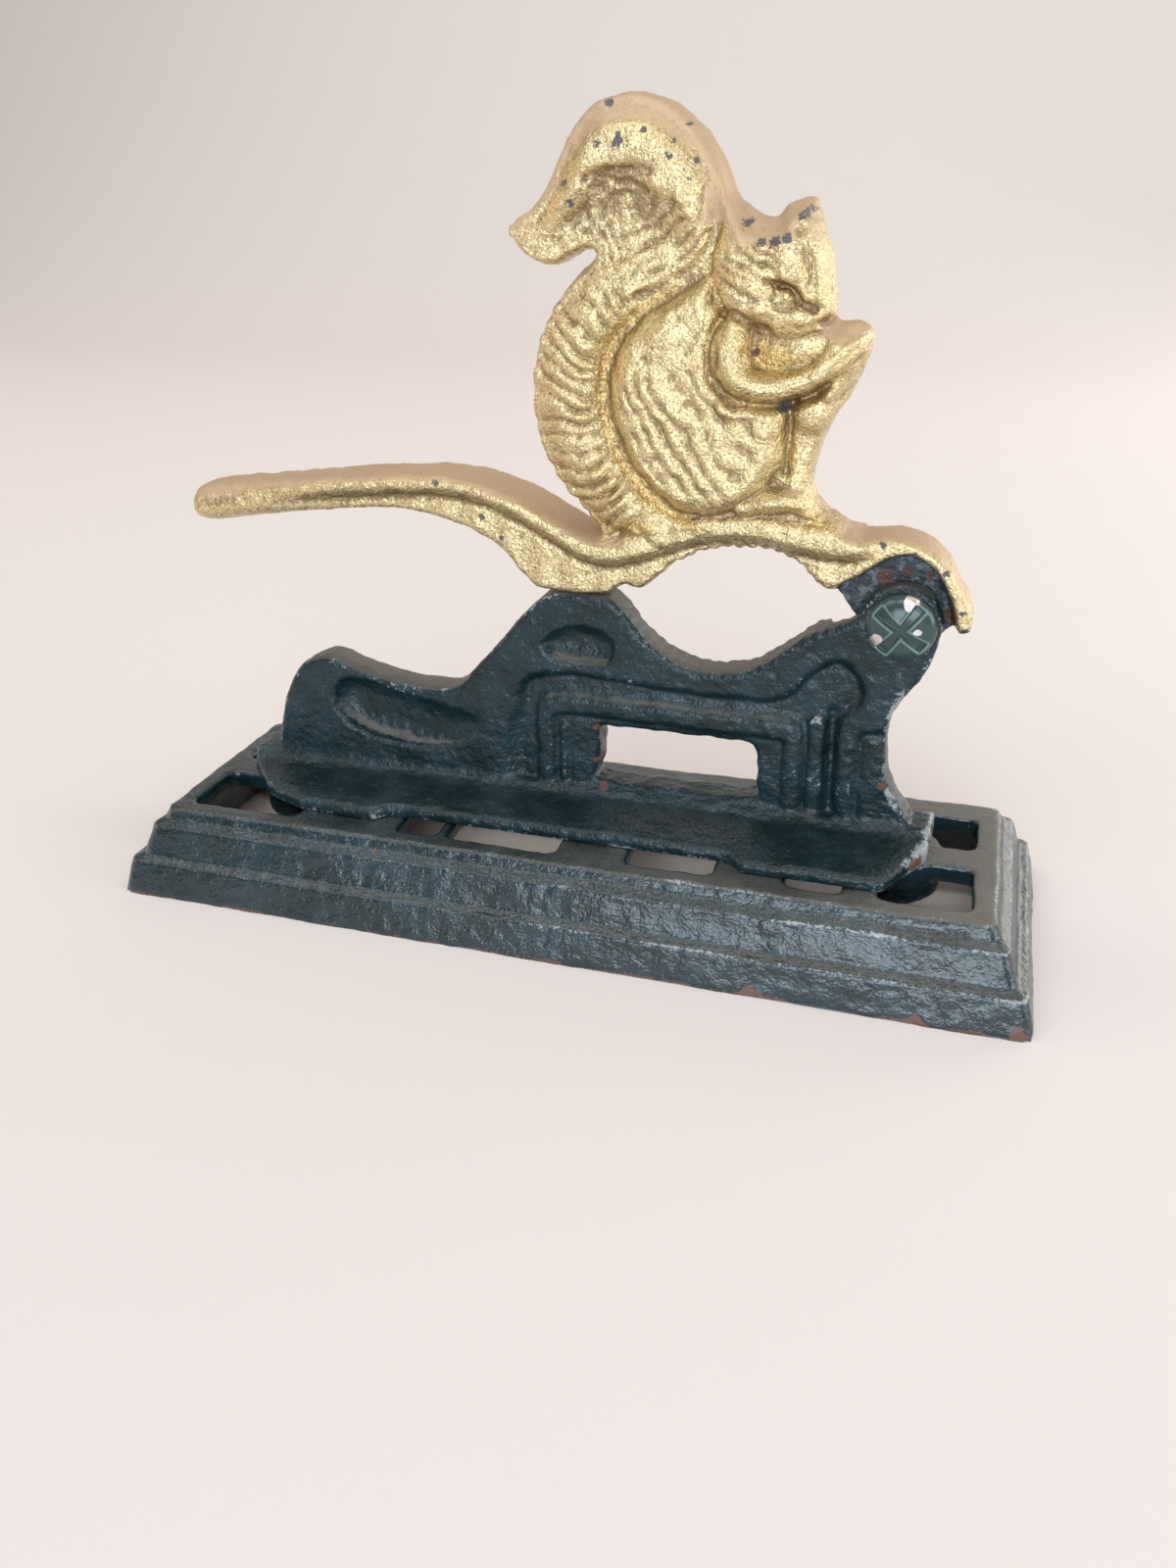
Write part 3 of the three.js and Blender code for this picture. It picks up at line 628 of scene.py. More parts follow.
class Tree:
    """A node tree that is built node by node."""

    def __init__(self, tree: bpy.types.NodeTree) -> None:
        """Take the tree to build in."""
        self.tree = tree

    def node(
        self, kind: str, settings: dict[str, Any], inputs: dict[Union[int, str], Any],
        output: Union[int, str] = 0,
    ) -> Link:
        """Add a node.

        Args:
            kind: The node's type.
            settings: Its own settings, set first.
            inputs: Value or link of each socket, by name or number.
            output: Which output to return.

        Returns:
            The output.
        """
        made = self.tree.nodes.new(kind)
        for key, value in settings.items():
            setattr(made, key, value)
        for key, value in inputs.items():
            self.join(made.inputs[key], value)
        return Link(self, made.outputs[output])

    def join(self, socket: bpy.types.NodeSocket, value: Any) -> None:
        """Set a socket.

        Args:
            socket: The socket.
            value: A number, a colour, a vector or a link.
        """
        if isinstance(value, Link):
            self.tree.links.new(value.socket, socket)
        elif isinstance(value, tuple) and len(value) == 3 and socket.type == "RGBA":
            socket.default_value = (*value, 1.0)
        else:
            socket.default_value = value


class Finish(Tree):
    """A material that is built node by node."""

    def __init__(self, name: str) -> None:
        """Start a material with only its surface shader.

        Args:
            name: The material's name.
        """
        self.material = bpy.data.materials.new(name)
        self.material.use_nodes = True
        super().__init__(self.material.node_tree)
        self.tree.nodes.clear()
        self.shader = self.tree.nodes.new("ShaderNodeBsdfPrincipled")
        output = self.tree.nodes.new("ShaderNodeOutputMaterial")
        self.tree.links.new(self.shader.outputs["BSDF"], output.inputs["Surface"])
        self.place = self.node("ShaderNodeTexCoord", {}, {}, "Object")

    def wear(self, **values: Any) -> None:
        """Set the shader's sockets; an underscore stands for a space."""
        for key, value in values.items():
            self.join(self.shader.inputs[key.replace("_", " ")], value)

    def speckle(self, size: float, detail: float = 2.0, rough: float = 0.5, stretch: float = 0.0) -> Link:
        """Noise with grains of a size in millimetres.

        Args:
            size: Width of a grain.
            detail: Octaves of finer grain.
            rough: Strength of the finer grain.
            stretch: Distortion of the grains.

        Returns:
            A value of about 0.2 to 0.8.
        """
        return self.node(
            "ShaderNodeTexNoise", {},
            {"Vector": self.place, "Scale": 1 / (size * MM), "Detail": detail, "Roughness": rough,
             "Distortion": stretch})

    def mark(self, name: str) -> Link:
        """Read a value that the mesh keeps for each corner."""
        return self.node("ShaderNodeAttribute", {"attribute_name": name}, {}, "Fac")

    def blend(self, share: Value, under: Any, over: Any) -> Link:
        """Lay one colour over another by a share."""
        return self.node(
            "ShaderNodeMix", {"data_type": "RGBA"}, {0: share, 6: under, 7: over}, 2)

    def mixed(self, share: Value, under: Value, over: Value) -> Link:
        """Go from one number to another by a share."""
        return self.node("ShaderNodeMix", {"data_type": "FLOAT"}, {0: share, 2: under, 3: over}, 0)

    def relief(self, height: Link, depth: float, under: Optional[Link] = None) -> Link:
        """Turn a height into a normal.

        Args:
            height: Value whose step from 0 to 1 is the depth.
            depth: The depth in millimetres.
            under: Normal of the relief beneath.

        Returns:
            The normal.
        """
        inputs: dict[Union[int, str], Any] = {"Height": height, "Distance": depth * MM, "Strength": 1.0}
        if under is not None:
            inputs["Normal"] = under
        return self.node("ShaderNodeBump", {}, inputs)


@dataclass(frozen=True)
class GoldPaint:
    """Gold bronze paint on rough iron, dull on top, chipped to dark iron in places, with painted light: a
    dull tan on top that is partly a painted reflection, painted shade in hollows and a deeper gold painted
    in the valleys.
    """

    bright: Triple = (0.71, 0.58, 0.33)
    # Colour of the valleys: painted shade and inter-reflection, not a paint of its own.
    deep: Triple = (0.60, 0.42, 0.18)
    # Colour of painted shade in hollows and creases, mixed with dirt.
    dark: Triple = (0.26, 0.19, 0.10)
    # Tan of upward faces: dull paint with dirt on it, and a painted reflection of a pale wall.
    dull: Triple = (0.52, 0.365, 0.22)
    fleck: Triple = (0.16, 0.12, 0.06)
    # Colour of the deepest hollows: painted shade, with some oxide.
    tarnish_and_shade: Triple = (0.26, 0.175, 0.10)
    iron: Triple = (0.105, 0.092, 0.092)
    green: Triple = (0.026, 0.042, 0.050)
    # Paler mottling of the bare recess: painted glints.
    recess_glint: Triple = (0.19, 0.22, 0.25)
    rust: Triple = (0.10, 0.04, 0.025)

    def make(self) -> bpy.types.Material:
        """Build the material.

        Returns:
            The material.
        """
        paint = Finish("gold_paint")
        hollow = paint.mark("hollow")
        upward = paint.mark("upward")
        recess = paint.mark("recess")
        wide = paint.speckle(6.0, 3.0)
        fine = paint.speckle(0.7, 3.0, 0.65)
        middle = paint.speckle(1.8, 3.0, 0.6)
        deep = paint.mark("deep")
        mottled = (wide - 0.5) * 0.4 + (middle - 0.5) * 0.4 + (fine - 0.5) * 0.5
        # Upward faces and the tan tops turn dull tan: dull paint with dirt on it, and a painted reflection
        # of a pale wall.
        dust_and_sheen = (upward - deep * 1.1 + mottled).step(0.26, 0.74)
        # Hollows and creases are darkened: painted shade, mixed with random dirty mottling.
        low = (hollow + (fine - 0.5) * 0.5 + (wide - 0.5) * 0.4).step(0.08, 0.6)
        # The valleys are painted a deeper gold: painted shade and inter-reflection.
        painted_valley_warmth = (deep + (fine - 0.5) * 0.7 + (wide - 0.5) * 0.3).step(0.2, 0.9)
        shade_and_grime = (low * 0.5 + (middle - 0.5) * 1.6 + (fine - 0.5) * 0.9).step(0.06, 0.6)
        colour = paint.blend(painted_valley_warmth, self.bright, self.deep)
        colour = paint.blend(shade_and_grime * 0.7, colour, self.dark)
        colour = paint.blend(dust_and_sheen * 0.88, colour, self.dull)
        flecks = paint.speckle(0.55, 2.0, 0.5, 0.4).step(0.585, 0.66) * (1 - dust_and_sheen * 0.7)
        colour = paint.blend(flecks * 0.55, colour, self.fleck)
        # The deepest hollows, off the tan tops, are darker still: painted shade, with some oxide.
        tarnish_and_shade_share = (hollow + (fine - 0.5) * 0.8).step(0.65, 1.15) * (1 - dust_and_sheen)
        colour = paint.blend(tarnish_and_shade_share * 0.55, colour, self.tarnish_and_shade)
        ragged = paint.speckle(1.0, 3.0, 0.7, 0.6)
        chips = (paint.mark("worn") * 0.85 + (ragged - 0.5) * 1.9).step(0.5, 0.56)
        chips = chips * paint.mark("worn").step(0.02, 0.1)
        specks = paint.speckle(0.75, 2.0, 0.5).step(0.74, 0.77)
        pits = (specks * (wide + 0.2).step(0.55, 0.85)) * 0.8
        bare = (chips + pits).clamped()
        colour = paint.blend(bare, colour, self.iron)
        edge = (recess + (fine - 0.5) * 0.9 + (wide - 0.5) * 0.8).step(-0.15, 0.25)
        rusty = (paint.mark("rusty") + (wide - 0.5) * 1.3 + (fine - 0.5) * 0.9).step(0.42, 0.7)
        # Paler mottling on the recess's green under-paint: painted glints.
        under = paint.blend(middle.step(0.48, 0.66) * 0.75, self.green, self.recess_glint)
        under = paint.blend(rusty, under, self.rust)
        colour = paint.blend(edge, colour, under)
        metal = paint.mixed(dust_and_sheen, 0.92, 0.38)
        metal = metal * (1 - (bare + edge).clamped() * 0.95)
        rough = paint.mixed(dust_and_sheen, 0.27, 0.52) + (fine - 0.5) * 0.25 + shade_and_grime * 0.1
        rough = paint.mixed(edge, rough, 0.4)
        rugged = 1 - dust_and_sheen * 0.7
        coarse = paint.relief(paint.speckle(1.7, 3.0, 0.6) * rugged, 0.3)
        sand = paint.relief(paint.speckle(0.62, 2.0, 0.6) * rugged, 0.36, coarse)
        worn = paint.relief(bare, -0.12, sand)
        paint.wear(Base_Color=colour, Metallic=metal, Roughness=rough, Normal=worn)
        return paint.material


@dataclass(frozen=True)
class CastPaint:
    """Dark blue-green paint on rough iron, greyed with dirt on top, with pale wear on edges and rust in
    places; painted light is mixed in: painted glints on edges, a painted reflection on the back of the
    frame's tops and a painted highlight in the scoop.
    """

    body: Triple = (0.004, 0.017, 0.020)
    light: Triple = (0.010, 0.034, 0.047)
    dust_and_sheen: Triple = (0.15, 0.142, 0.122)
    # Pale strip at the back of the frame's top faces: a painted reflection of a pale wall.
    pale: Triple = (0.15, 0.14, 0.125)
    glint: Triple = (0.42, 0.46, 0.46)
    rust: Triple = (0.11, 0.045, 0.026)
    grain: float = 1.5
    depth: float = 0.4
    sand: float = 0.6
    sand_depth: float = 0.1
    dusty_and_lit: float = 0.85
    rough: float = 0.24
    shine: float = 0.42

    def make(self, name: str) -> bpy.types.Material:
        """Build the material under a name.

        Args:
            name: The material's name.

        Returns:
            The material.
        """
        paint = Finish(name)
        wide = paint.speckle(9.0, 3.0)
        fine = paint.speckle(0.7, 3.0, 0.6)
        colour = paint.blend(wide.step(0.35, 0.75), self.body, self.light)
        # Tops greyed with dirt, and painted light where the mark carries it: the scoop's highlight and the
        # base's brightening to the right.
        top = (paint.mark("dusty_and_lit") + (wide - 0.5) * 0.35 + (fine - 0.5) * 0.3).step(0.1, 0.95)
        colour = paint.blend(top * self.dusty_and_lit, colour, self.dust_and_sheen)
        # Pale strip at the back of the frame's top faces: a painted reflection.
        painted_top_reflection = (paint.mark("pale") + (fine - 0.5) * 0.7 + (wide - 0.5) * 0.4).step(0.35, 0.75)
        colour = paint.blend(painted_top_reflection, colour, self.pale)
        # Pale edges: wear, and painted glints.
        worn = (paint.mark("worn") + (fine - 0.5) * 1.6 + (wide - 0.5) * 1.4).step(0.66, 0.9)
        colour = paint.blend(worn * 0.6, colour, self.glint)
        rusty = (paint.mark("rusty") + (fine - 0.5) * 1.3 + (wide - 0.5) * 0.8).step(0.45, 0.6)
        colour = paint.blend(rusty, colour, self.rust)
        rough = self.rough + (fine - 0.5) * 0.2 + (top + painted_top_reflection).clamped() * 0.3 + rusty * 0.3
        coarse = paint.relief(paint.speckle(self.grain, 3.0, 0.6), self.depth)
        sand = paint.relief(paint.speckle(self.sand, 2.0, 0.5), self.sand_depth, coarse)
        paint.wear(
            Base_Color=colour, Metallic=0.0, Roughness=rough, Specular_IOR_Level=self.shine, Normal=sand)
        return paint.material


@dataclass(frozen=True)
class HeadPaint:
    """Glossy green paint on the pivot screw's head, chipped to bright steel."""

    body: Triple = (0.032, 0.060, 0.060)
    lip: Triple = (0.17, 0.27, 0.23)
    steel: Triple = (0.72, 0.67, 0.65)

    def make(self) -> bpy.types.Material:
        """Build the material.

        Returns:
            The material.
        """
        paint = Finish("head_paint")
        wide = paint.speckle(3.2, 2.0, 0.45)
        fine = paint.speckle(0.5, 2.0)
        bare = (paint.mark("worn") + (wide - 0.5) * 1.2 + (fine - 0.5) * 0.25).step(0.5, 0.56)
        colour = paint.blend(paint.mark("lip") * 0.8, self.body, self.lip)
        colour = paint.blend(bare, colour, self.steel)
        normal = paint.relief(bare, -0.05, paint.relief(fine, 0.02))
        paint.wear(
            Base_Color=colour, Metallic=bare * 0.9, Roughness=paint.mixed(bare, 0.17, 0.3), Normal=normal)
        return paint.material


@dataclass(frozen=True)
class ZincPlate:
    """Zinc plate on small hardware, dulled by age."""

    body: Triple = (0.50, 0.51, 0.52)
    stain: Triple = (0.22, 0.19, 0.16)

    def make(self) -> bpy.types.Material:
        """Build the material.

        Returns:
            The material.
        """
        paint = Finish("zinc_plate")
        wide = paint.speckle(2.5, 4.0, 0.6)
        fine = paint.speckle(0.3, 2.0)
        stained = wide.step(0.5, 0.75)
        paint.wear(
            Base_Color=paint.blend(stained * 0.7, self.body, self.stain),
            Metallic=paint.mixed(stained, 0.95, 0.6),
            Roughness=0.3 + stained * 0.25 + (fine - 0.5) * 0.15,
            Normal=paint.relief(fine, 0.02))
        return paint.material


def dress(obj: bpy.types.Object, material: bpy.types.Material, slot: Slot, body: Body, *nodes: str) -> None:
    """Paint a piece and set it in the model.

    Args:
        obj: The piece.
        material: Its finish.
        slot: The record's slot for that finish; not used.
        body: The body it rides on.
        nodes: CAD nodes that it stands for.
    """
    obj.data.materials.clear()
    obj.data.materials.append(material)
    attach(obj, body.value)
    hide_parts(*nodes)
    LOG.info("%s: %d faces", obj.name, len(obj.data.polygons))


# Castings

@dataclass
class Squirrel:
    """The squirrel's forms and fur, as heights over the lever's middle plane."""

    valley: Line = (
        (31.6, 141.0), (29.6, 137.0), (27.6, 132.0), (22.5, 128.3), (15.3, 123.9), (10.6, 119.4),
        (8.4, 114.1), (8.0, 108.8), (8.5, 104.8), (10.4, 99.8), (12.8, 95.2), (17.3, 90.3),
        (22.2, 86.9), (26.5, 85.4))
    crest: Line = (
        (-8.0, 136.6), (-4.4, 137.6), (-1.4, 139.4), (1.6, 141.6), (3.6, 144.0), (5.6, 146.4), (8.6, 148.2),
        (12.0, 149.2), (15.4, 149.0), (18.2, 147.4), (20.4, 144.6))
    tan_from: tuple[float, ...] = (0.2, 0.2, 0.3, 0.5, 0.9, 1.8, 2.6, 2.6, 2.8, 3.4, 4.0)
    flow: Line = (
        (27.6, 146.6), (25.6, 140.0), (21.4, 135.0), (15.4, 131.4), (9.0, 127.0), (4.0, 120.6))
    neck: Limb = Limb(
        ((27.4, 142.6), (24.8, 137.6), (19.4, 132.8), (13.4, 129.2), (8.0, 124.6)),
        (4.6, 5.6, 6.0, 6.4, 6.6), (7.6, 7.2, 6.8, 7.0, 7.6), foot=3.0)
    valley_floor: Limb = Limb(
        ((30.8, 141.0), (29.4, 136.4), (26.0, 131.4), (20.0, 127.6), (13.6, 123.0), (10.4, 118.0)),
        (2.6, 3.2, 3.4, 3.4, 3.0, 2.0), (6.6, 6.4, 6.2, 6.0, 5.6, 4.6), foot=3.0)
    plume_zone: Line = (
        (-14.0, 138.0), (-5.0, 147.0), (1.0, 159.0), (15.0, 163.0), (29.0, 157.0), (33.6, 144.0),
        (31.4, 141.0), (29.4, 137.0), (27.2, 132.6), (21.0, 128.8), (14.0, 124.6), (9.0, 121.4),
        (3.0, 124.0), (-2.0, 128.0), (-9.0, 129.0))
    body_zone: Line = (
        (28.6, 130.6), (23.2, 127.6), (16.6, 123.4), (12.0, 118.8), (9.8, 113.8), (9.4, 108.8),
        (9.9, 104.9), (11.8, 100.2), (14.2, 95.8), (18.5, 91.2), (23.0, 88.0), (27.8, 86.9),
        (33.2, 87.8), (38.0, 90.8), (41.4, 95.6), (42.8, 101.6), (42.8, 108.0), (40.0, 112.0),
        (37.0, 118.0), (34.6, 122.4), (30.8, 126.2))
    haunch: Pillow = Pillow((26.4, 101.8), (13.4, 13.0), 12.2, foot=7.0, power=2.2, fullness=0.6, turn=0.3)
    shoulder: Pillow = Pillow((25.6, 118.0), (9.6, 9.0), 11.0, foot=7.0, power=2.2, fullness=0.7)
    head_zone: Line = (
        (31.8, 143.0), (30.2, 137.2), (28.8, 132.4), (29.2, 128.6), (31.2, 125.3), (34.6, 122.3),
        (38.4, 120.2), (42.2, 119.2), (45.6, 119.6), (48.8, 120.8), (53.0, 123.0), (54.5, 130.0),
        (52.0, 140.0), (46.0, 146.0), (38.0, 144.0))
    cheek: Pillow = Pillow((36.2, 127.0), (6.0, 5.2), 10.6, foot=7.0, power=2.2, turn=-0.35)
    brow: Pillow = Pillow((41.2, 132.6), (5.4, 3.6), 10.2, foot=7.0, power=2.2, turn=-0.75)
    muzzle: Pillow = Pillow((45.2, 122.8), (4.4, 2.8), 8.8, foot=4.0, power=2.3, turn=-0.2)
    socket: Pillow = Pillow((42.2, 126.9), (3.4, 2.5), 1.0, foot=0.0, power=2.0, turn=-0.6)
    ear_cup: Pillow = Pillow((43.9, 138.3), (1.9, 2.6), 1.0, foot=0.0, power=2.0, turn=-0.3)
    arm: Limb = Limb(
        ((33.8, 123.4), (33.0, 119.8), (32.7, 116.2), (34.4, 113.0), (38.2, 111.6), (42.6, 111.8),
         (47.4, 113.6), (51.6, 117.2)),
        (2.8, 3.6, 3.9, 3.6, 3.1, 2.9, 2.7, 2.3), (10.0, 11.4, 12.0, 12.0, 11.6, 11.0, 10.2, 9.0),
        foot=5.5, fullness=0.55)
    chest: Pillow = Pillow((42.4, 117.6), (9.6, 5.4), 8.0, foot=5.0, power=2.0, turn=0.1)
    paw_zone: Line = (
        (48.8, 120.6), (51.6, 123.6), (56.0, 123.6), (58.4, 121.4), (58.2, 116.0), (55.0, 110.0),
        (51.4, 107.6), (47.6, 110.4), (48.0, 115.6))
    lobe: Pillow = Pillow((47.6, 107.2), (4.8, 4.8), 7.6, foot=3.0, power=2.3)
    strip: Limb = Limb(
        ((48.2, 102.6), (45.6, 98.0), (44.6, 92.8)), (2.8, 2.2, 2.6), (5.4, 5.4, 6.2), foot=3.0)
    foot: Limb = Limb(
        ((35.6, 89.4), (40.6, 90.8), (45.2, 91.0), (49.8, 88.6)), (2.4, 2.8, 2.5, 1.8), (8.6, 9.4, 9.0, 7.0))
    under_arm: Line = (
        (30.9, 123.4), (29.9, 121.8), (29.0, 119.5), (28.5, 115.7), (30.1, 112.0), (34.0, 109.2),
        (39.3, 108.3), (42.8, 108.6), (47.4, 110.4), (52.6, 113.7), (55.4, 116.9))
    over_arm: Line = ((35.4, 118.6), (37.2, 115.6), (40.4, 114.6), (44.4, 115.2), (48.0, 117.4))
    crease: Line = ((30.2, 130.3), (34.0, 127.4), (36.5, 125.7))
    jowl: Line = ((32.4, 124.3), (36.2, 122.8), (39.3, 121.7))
    chin: Line = ((34.0, 123.4), (37.2, 121.2), (41.0, 118.8), (45.0, 117.6))
    eyelid: Line = ((39.6, 129.6), (41.8, 128.6), (43.7, 127.0), (45.0, 125.5), (47.2, 124.5))
    eye: Pillow = Pillow((41.8, 126.5), (1.6, 1.3), 1.0, foot=0.0, turn=-0.5)
    eye_ring: Pillow = Pillow((42.2, 126.9), (2.6, 1.9), 1.0, turn=-0.6)
    lid: Line = ((38.8, 130.2), (41.4, 130.0), (43.9, 128.3), (45.6, 126.6))
    nostril: Spot = Spot(46.9, 124.6, 1.0, 0.6)
    tan_tip: Spot = Spot(-8.4, 137.8, 2.8, squash=(0.6, 1.0))
    tail_foot: Spot = Spot(13.0, 84.0, 4.0, squash=(0.5, 1.0))
    # Spots of deeper gold: painted shade and inter-reflection.
    painted_warm_spots: tuple[Spot, ...] = (
        Spot(14.0, 84.6, 4.2, 0.9, (0.55, 1.0)), Spot(50.0, 87.0, 4.0, 0.7, (0.5, 1.0)),
        Spot(44.4, 100.0, 2.4, 0.8, (1.0, 0.35)), Spot(38.6, 117.0, 3.0, 0.7),
        Spot(41.0, 116.8, 5.0, 0.9, (1.0, 1.6)))
    # Lines of painted shade: below the chin, under the arm, along the eyelid and across the cheek.
    shade_lines: tuple[Groove, ...] = (
        (chin, 2.6, 0.4), (under_arm, 2.2, 0.15), (eyelid, 1.2, 0.6), (jowl, 1.5, 0.35), (crease, 1.3, 0.2))
    grooves: tuple[Groove, ...] = (
        (under_arm, 1.7, 1.9),
        (((38.6, 129.3), (41.2, 128.9), (43.6, 127.3), (45.4, 125.2), (48.3, 124.5)), 1.1, 1.3),
        (crease, 1.1, 0.45),
        (jowl, 1.2, 0.6),
        (((44.2, 137.0), (45.6, 133.0), (46.3, 129.4), (46.6, 126.0)), 1.7, 0.9),
        (((5.6, 145.2), (7.2, 146.1), (10.1, 146.6), (13.2, 147.2), (15.8, 147.3), (17.6, 146.4)), 1.2, 0.8),
        (((44.0, 108.4), (43.4, 102.0), (43.2, 96.0)), 1.3, 1.1),
        (((47.2, 121.2), (49.8, 121.0)), 1.0, 0.9),
        (((22.0, 122.4), (22.6, 119.4), (25.0, 118.0), (27.8, 119.8)), 1.6, 0.35))
    fine_cuts: tuple[Groove, ...] = (
        (((44.0, 121.6), (46.6, 122.0), (49.0, 122.4)), 0.7, 0.4),
        (((50.2, 117.2), (53.6, 120.2)), 0.6, 0.35),
        (((51.4, 115.6), (54.8, 118.6)), 0.6, 0.35),
        (((52.4, 114.0), (55.4, 116.8)), 0.6, 0.35),
        (((45.2, 90.0), (49.0, 88.6)), 0.6, 0.4),
        (((44.6, 91.6), (48.4, 90.6)), 0.6, 0.4))
    spine: Line = (
        (9.0, 82.0), (4.8, 89.5), (1.6, 97.5), (0.8, 106.0), (1.8, 115.0), (5.4, 123.0), (11.2, 129.4))
    combed_left: Line = (
        (18.5, 126.0), (15.0, 120.9), (13.6, 117.2), (13.3, 112.9), (14.9, 107.7), (17.7, 102.5),
        (20.6, 97.3), (24.4, 92.0), (28.4, 88.0))
    jaw_line: Line = (
        (28.0, 128.2), (31.4, 126.4), (36.6, 124.3), (41.7, 122.6), (46.0, 122.6), (50.0, 123.2))
    ground: float = 6.8
    tail_crest: float = 0.62
    plume_tops: Line = (
        (124.0, 7.6), (130.0, 7.4), (136.0, 8.0), (142.0, 9.4), (148.0, 10.6), (153.0, 10.8))
    plume_hollow: Line = (
        (-9.0, 0.3), (-1.0, 1.6), (5.0, 3.0), (10.0, 3.4), (15.0, 3.0), (20.0, 1.8), (26.0, 0.0))
    tail_pitch: float = 3.0
    plume_pitch: float = 2.5
    body_pitch: float = 2.9
    body_spread: Line = ((0.0, 0.85), (12.0, 0.95), (25.0, 1.1), (45.0, 1.15))
    cheek_pitch: Line = ((28.0, 2.1), (36.0, 2.0), (44.0, 1.6))
    arm_pitch: float = 1.35

    def depth(self, x: Array, z: Array, inside: Array) -> Array:
        """Work out the squirrel's half thickness.

        Args:
            x: X of each corner.
            z: Z of each corner.
            inside: Distance of each corner from the outline.

        Returns:
            Depth in millimetres from the middle plane.
        """
        depth = 1.3 + 2.7 * round_up(inside / 3.0)
        depth = soft_max(depth, self.ground * rise(90.5, 85.5, z) * rise(6, 14, x), 0.8)
        depth = np.maximum(depth, self.tail_depth(x, z, inside))
        depth = np.maximum(depth, self.plume_depth(x, z, inside))
        zone = within(self.body_zone, x, z)
        body = 4.0 + 5.8 * round_up(zone / 5.5) + 0.8 * rise(3, 10, zone)
        body = np.where(zone > 0, body, 0)
        body = np.maximum(body, np.where(zone > 2, soft_max(
            self.haunch.height(x, z), self.shoulder.height(x, z), 1.0), 0))
        depth = np.maximum(depth, body)
        for form, reach in (
            (self.valley_floor, 0.8), (self.strip, 0.8), (self.foot, 0.6), (self.chest, 0.6),
            (self.lobe, 0.6), (self.arm, 0.3),
        ):
            depth = soft_max(depth, form.height(x, z), reach) - reach * 0.1
        depth = np.maximum(depth, self.head_depth(x, z))
        zone = within(self.paw_zone, x, z)
        depth = np.maximum(depth, np.where(zone > 0, 3.6 + 5.0 * round_up(zone / 3.2), 0))
        for line, half, sunk in self.grooves:
            depth = depth - sunk * seam(line, x, z, half, half + 1)
        wall = rise(42.5, 45.5, x) * rise(144.0, 133.0, z) * rise(122.5, 124.5, z)
        ledge = 1.5 + (2.3 + 4.0 * wall) * inside
        edge = 1.2 + 8.2 * round_up(inside / 5.2) + 2.4 * rise(-2, -6, x) * (z > 128)
        square = rise(30.5, 33.5, x) * rise(106, 110, z)
        return np.minimum(depth, between(edge, ledge, square))

    def tail_depth(self, x: Array, z: Array, inside: Array) -> Array:
        """Work out the tail band, round from the outline to the valley beside the body.

        Args:
            x: X of each corner.
            z: Z of each corner.
            inside: Distance of each corner from the outline.

        Returns:
            Depths in millimetres, 0 outside the tail.
        """
        distance, _, side, _ = Path(self.valley).measure(x, z)
        share = inside / np.maximum(inside + distance, 0.01)
        rising = 1.2 + 7.0 * round_up(share / self.tail_crest)
        falling = 4.0 + 4.2 * round_up((1 - share) / (1 - self.tail_crest))
        band = np.where(share < self.tail_crest, rising, falling)
        return np.where((side < 0) & (x < 26), band * rise(131, 124, z) * rise(83.0, 89.0, z + 0.35 * x), 0)

    def plume_depth(self, x: Array, z: Array, inside: Array) -> Array:
        """Work out the plume: a smooth dome, the hollow under its crest and the neck.

        Args:
            x: X of each corner.
            z: Z of each corner.
            inside: Distance of each corner from the outline.

        Returns:
            Depths in millimetres, 0 outside the plume.
        """
        zone = within(self.plume_zone, x, z)
        top = looked_up(z, self.plume_tops)
        dome = 1.4 + (top - 1.4) * np.sin(np.pi / 2 * np.clip(inside / 9.5, 0, 1)) ** 0.75
        fall = looked_up(x + 0.4 * (z - 140), self.plume_hollow)
        below = -Path(self.crest).beside(x, z)
        hollow = fall * rise(-0.6, 4.0, below) * rise(18, 6, below)
        neck = self.neck.height(x, z)
        height = np.maximum(dome - hollow, neck * rise(140, 134, z))
        rim = 4.0 + 3.2 * round_up(zone / 2.4) + 2.0 * rise(1, 6, zone)
        return np.where(zone > 0, np.minimum(height, rim), 0)

    def head_depth(self, x: Array, z: Array) -> Array:
        """Work out the head with its cheek, brow, eye and muzzle.

        Args:
            x: X of each corner.
            z: Z of each corner.

        Returns:
            Depths in millimetres, 0 outside the head.
        """
        zone = within(self.head_zone, x, z)
        head = 4.2 + 5.0 * round_up(zone / 4.4)
        for form in (self.cheek, self.brow):
            head = soft_max(head, form.height(x, z), 0.8)
        front = rise(43.0, 50.5, x) * rise(135, 126, z)
        head = head - 0.9 * front
        head = head - 1.5 * np.clip(1 - self.socket.reach(x, z) ** 2, 0, 1)
        head = head - 1.3 * np.clip(1 - self.ear_cup.reach(x, z) ** 2, 0, 1)
        return np.where(zone > 0, np.maximum(head, self.muzzle.height(x, z)), 0)

    def shaded(self, x: Array, z: Array) -> Array:
        """Work out where shade is painted: under the plume's crest, below the chin and round the eye.

        Args:
            x: X of each corner.
            z: Z of each corner.

        Returns:
            Shares of up to 1, below 0 on the eye, which clears it of painted shade so that it stays bright
            as a painted highlight.
        """
        inner = -Path(self.crest).beside(x, z)
        shade_and_grime = 0.5 * rise(0.0, 2.0, inner) * rise(13, 5, inner) * rise(-1, 6, x) * rise(23, 17, x)
        for line, half, share in self.shade_lines:
            shade_and_grime += share * seam(line, x, z, half, 4)
        return np.clip(shade_and_grime, 0, 1) - Spot(*self.eye.centre, 1.8).share(x, z)

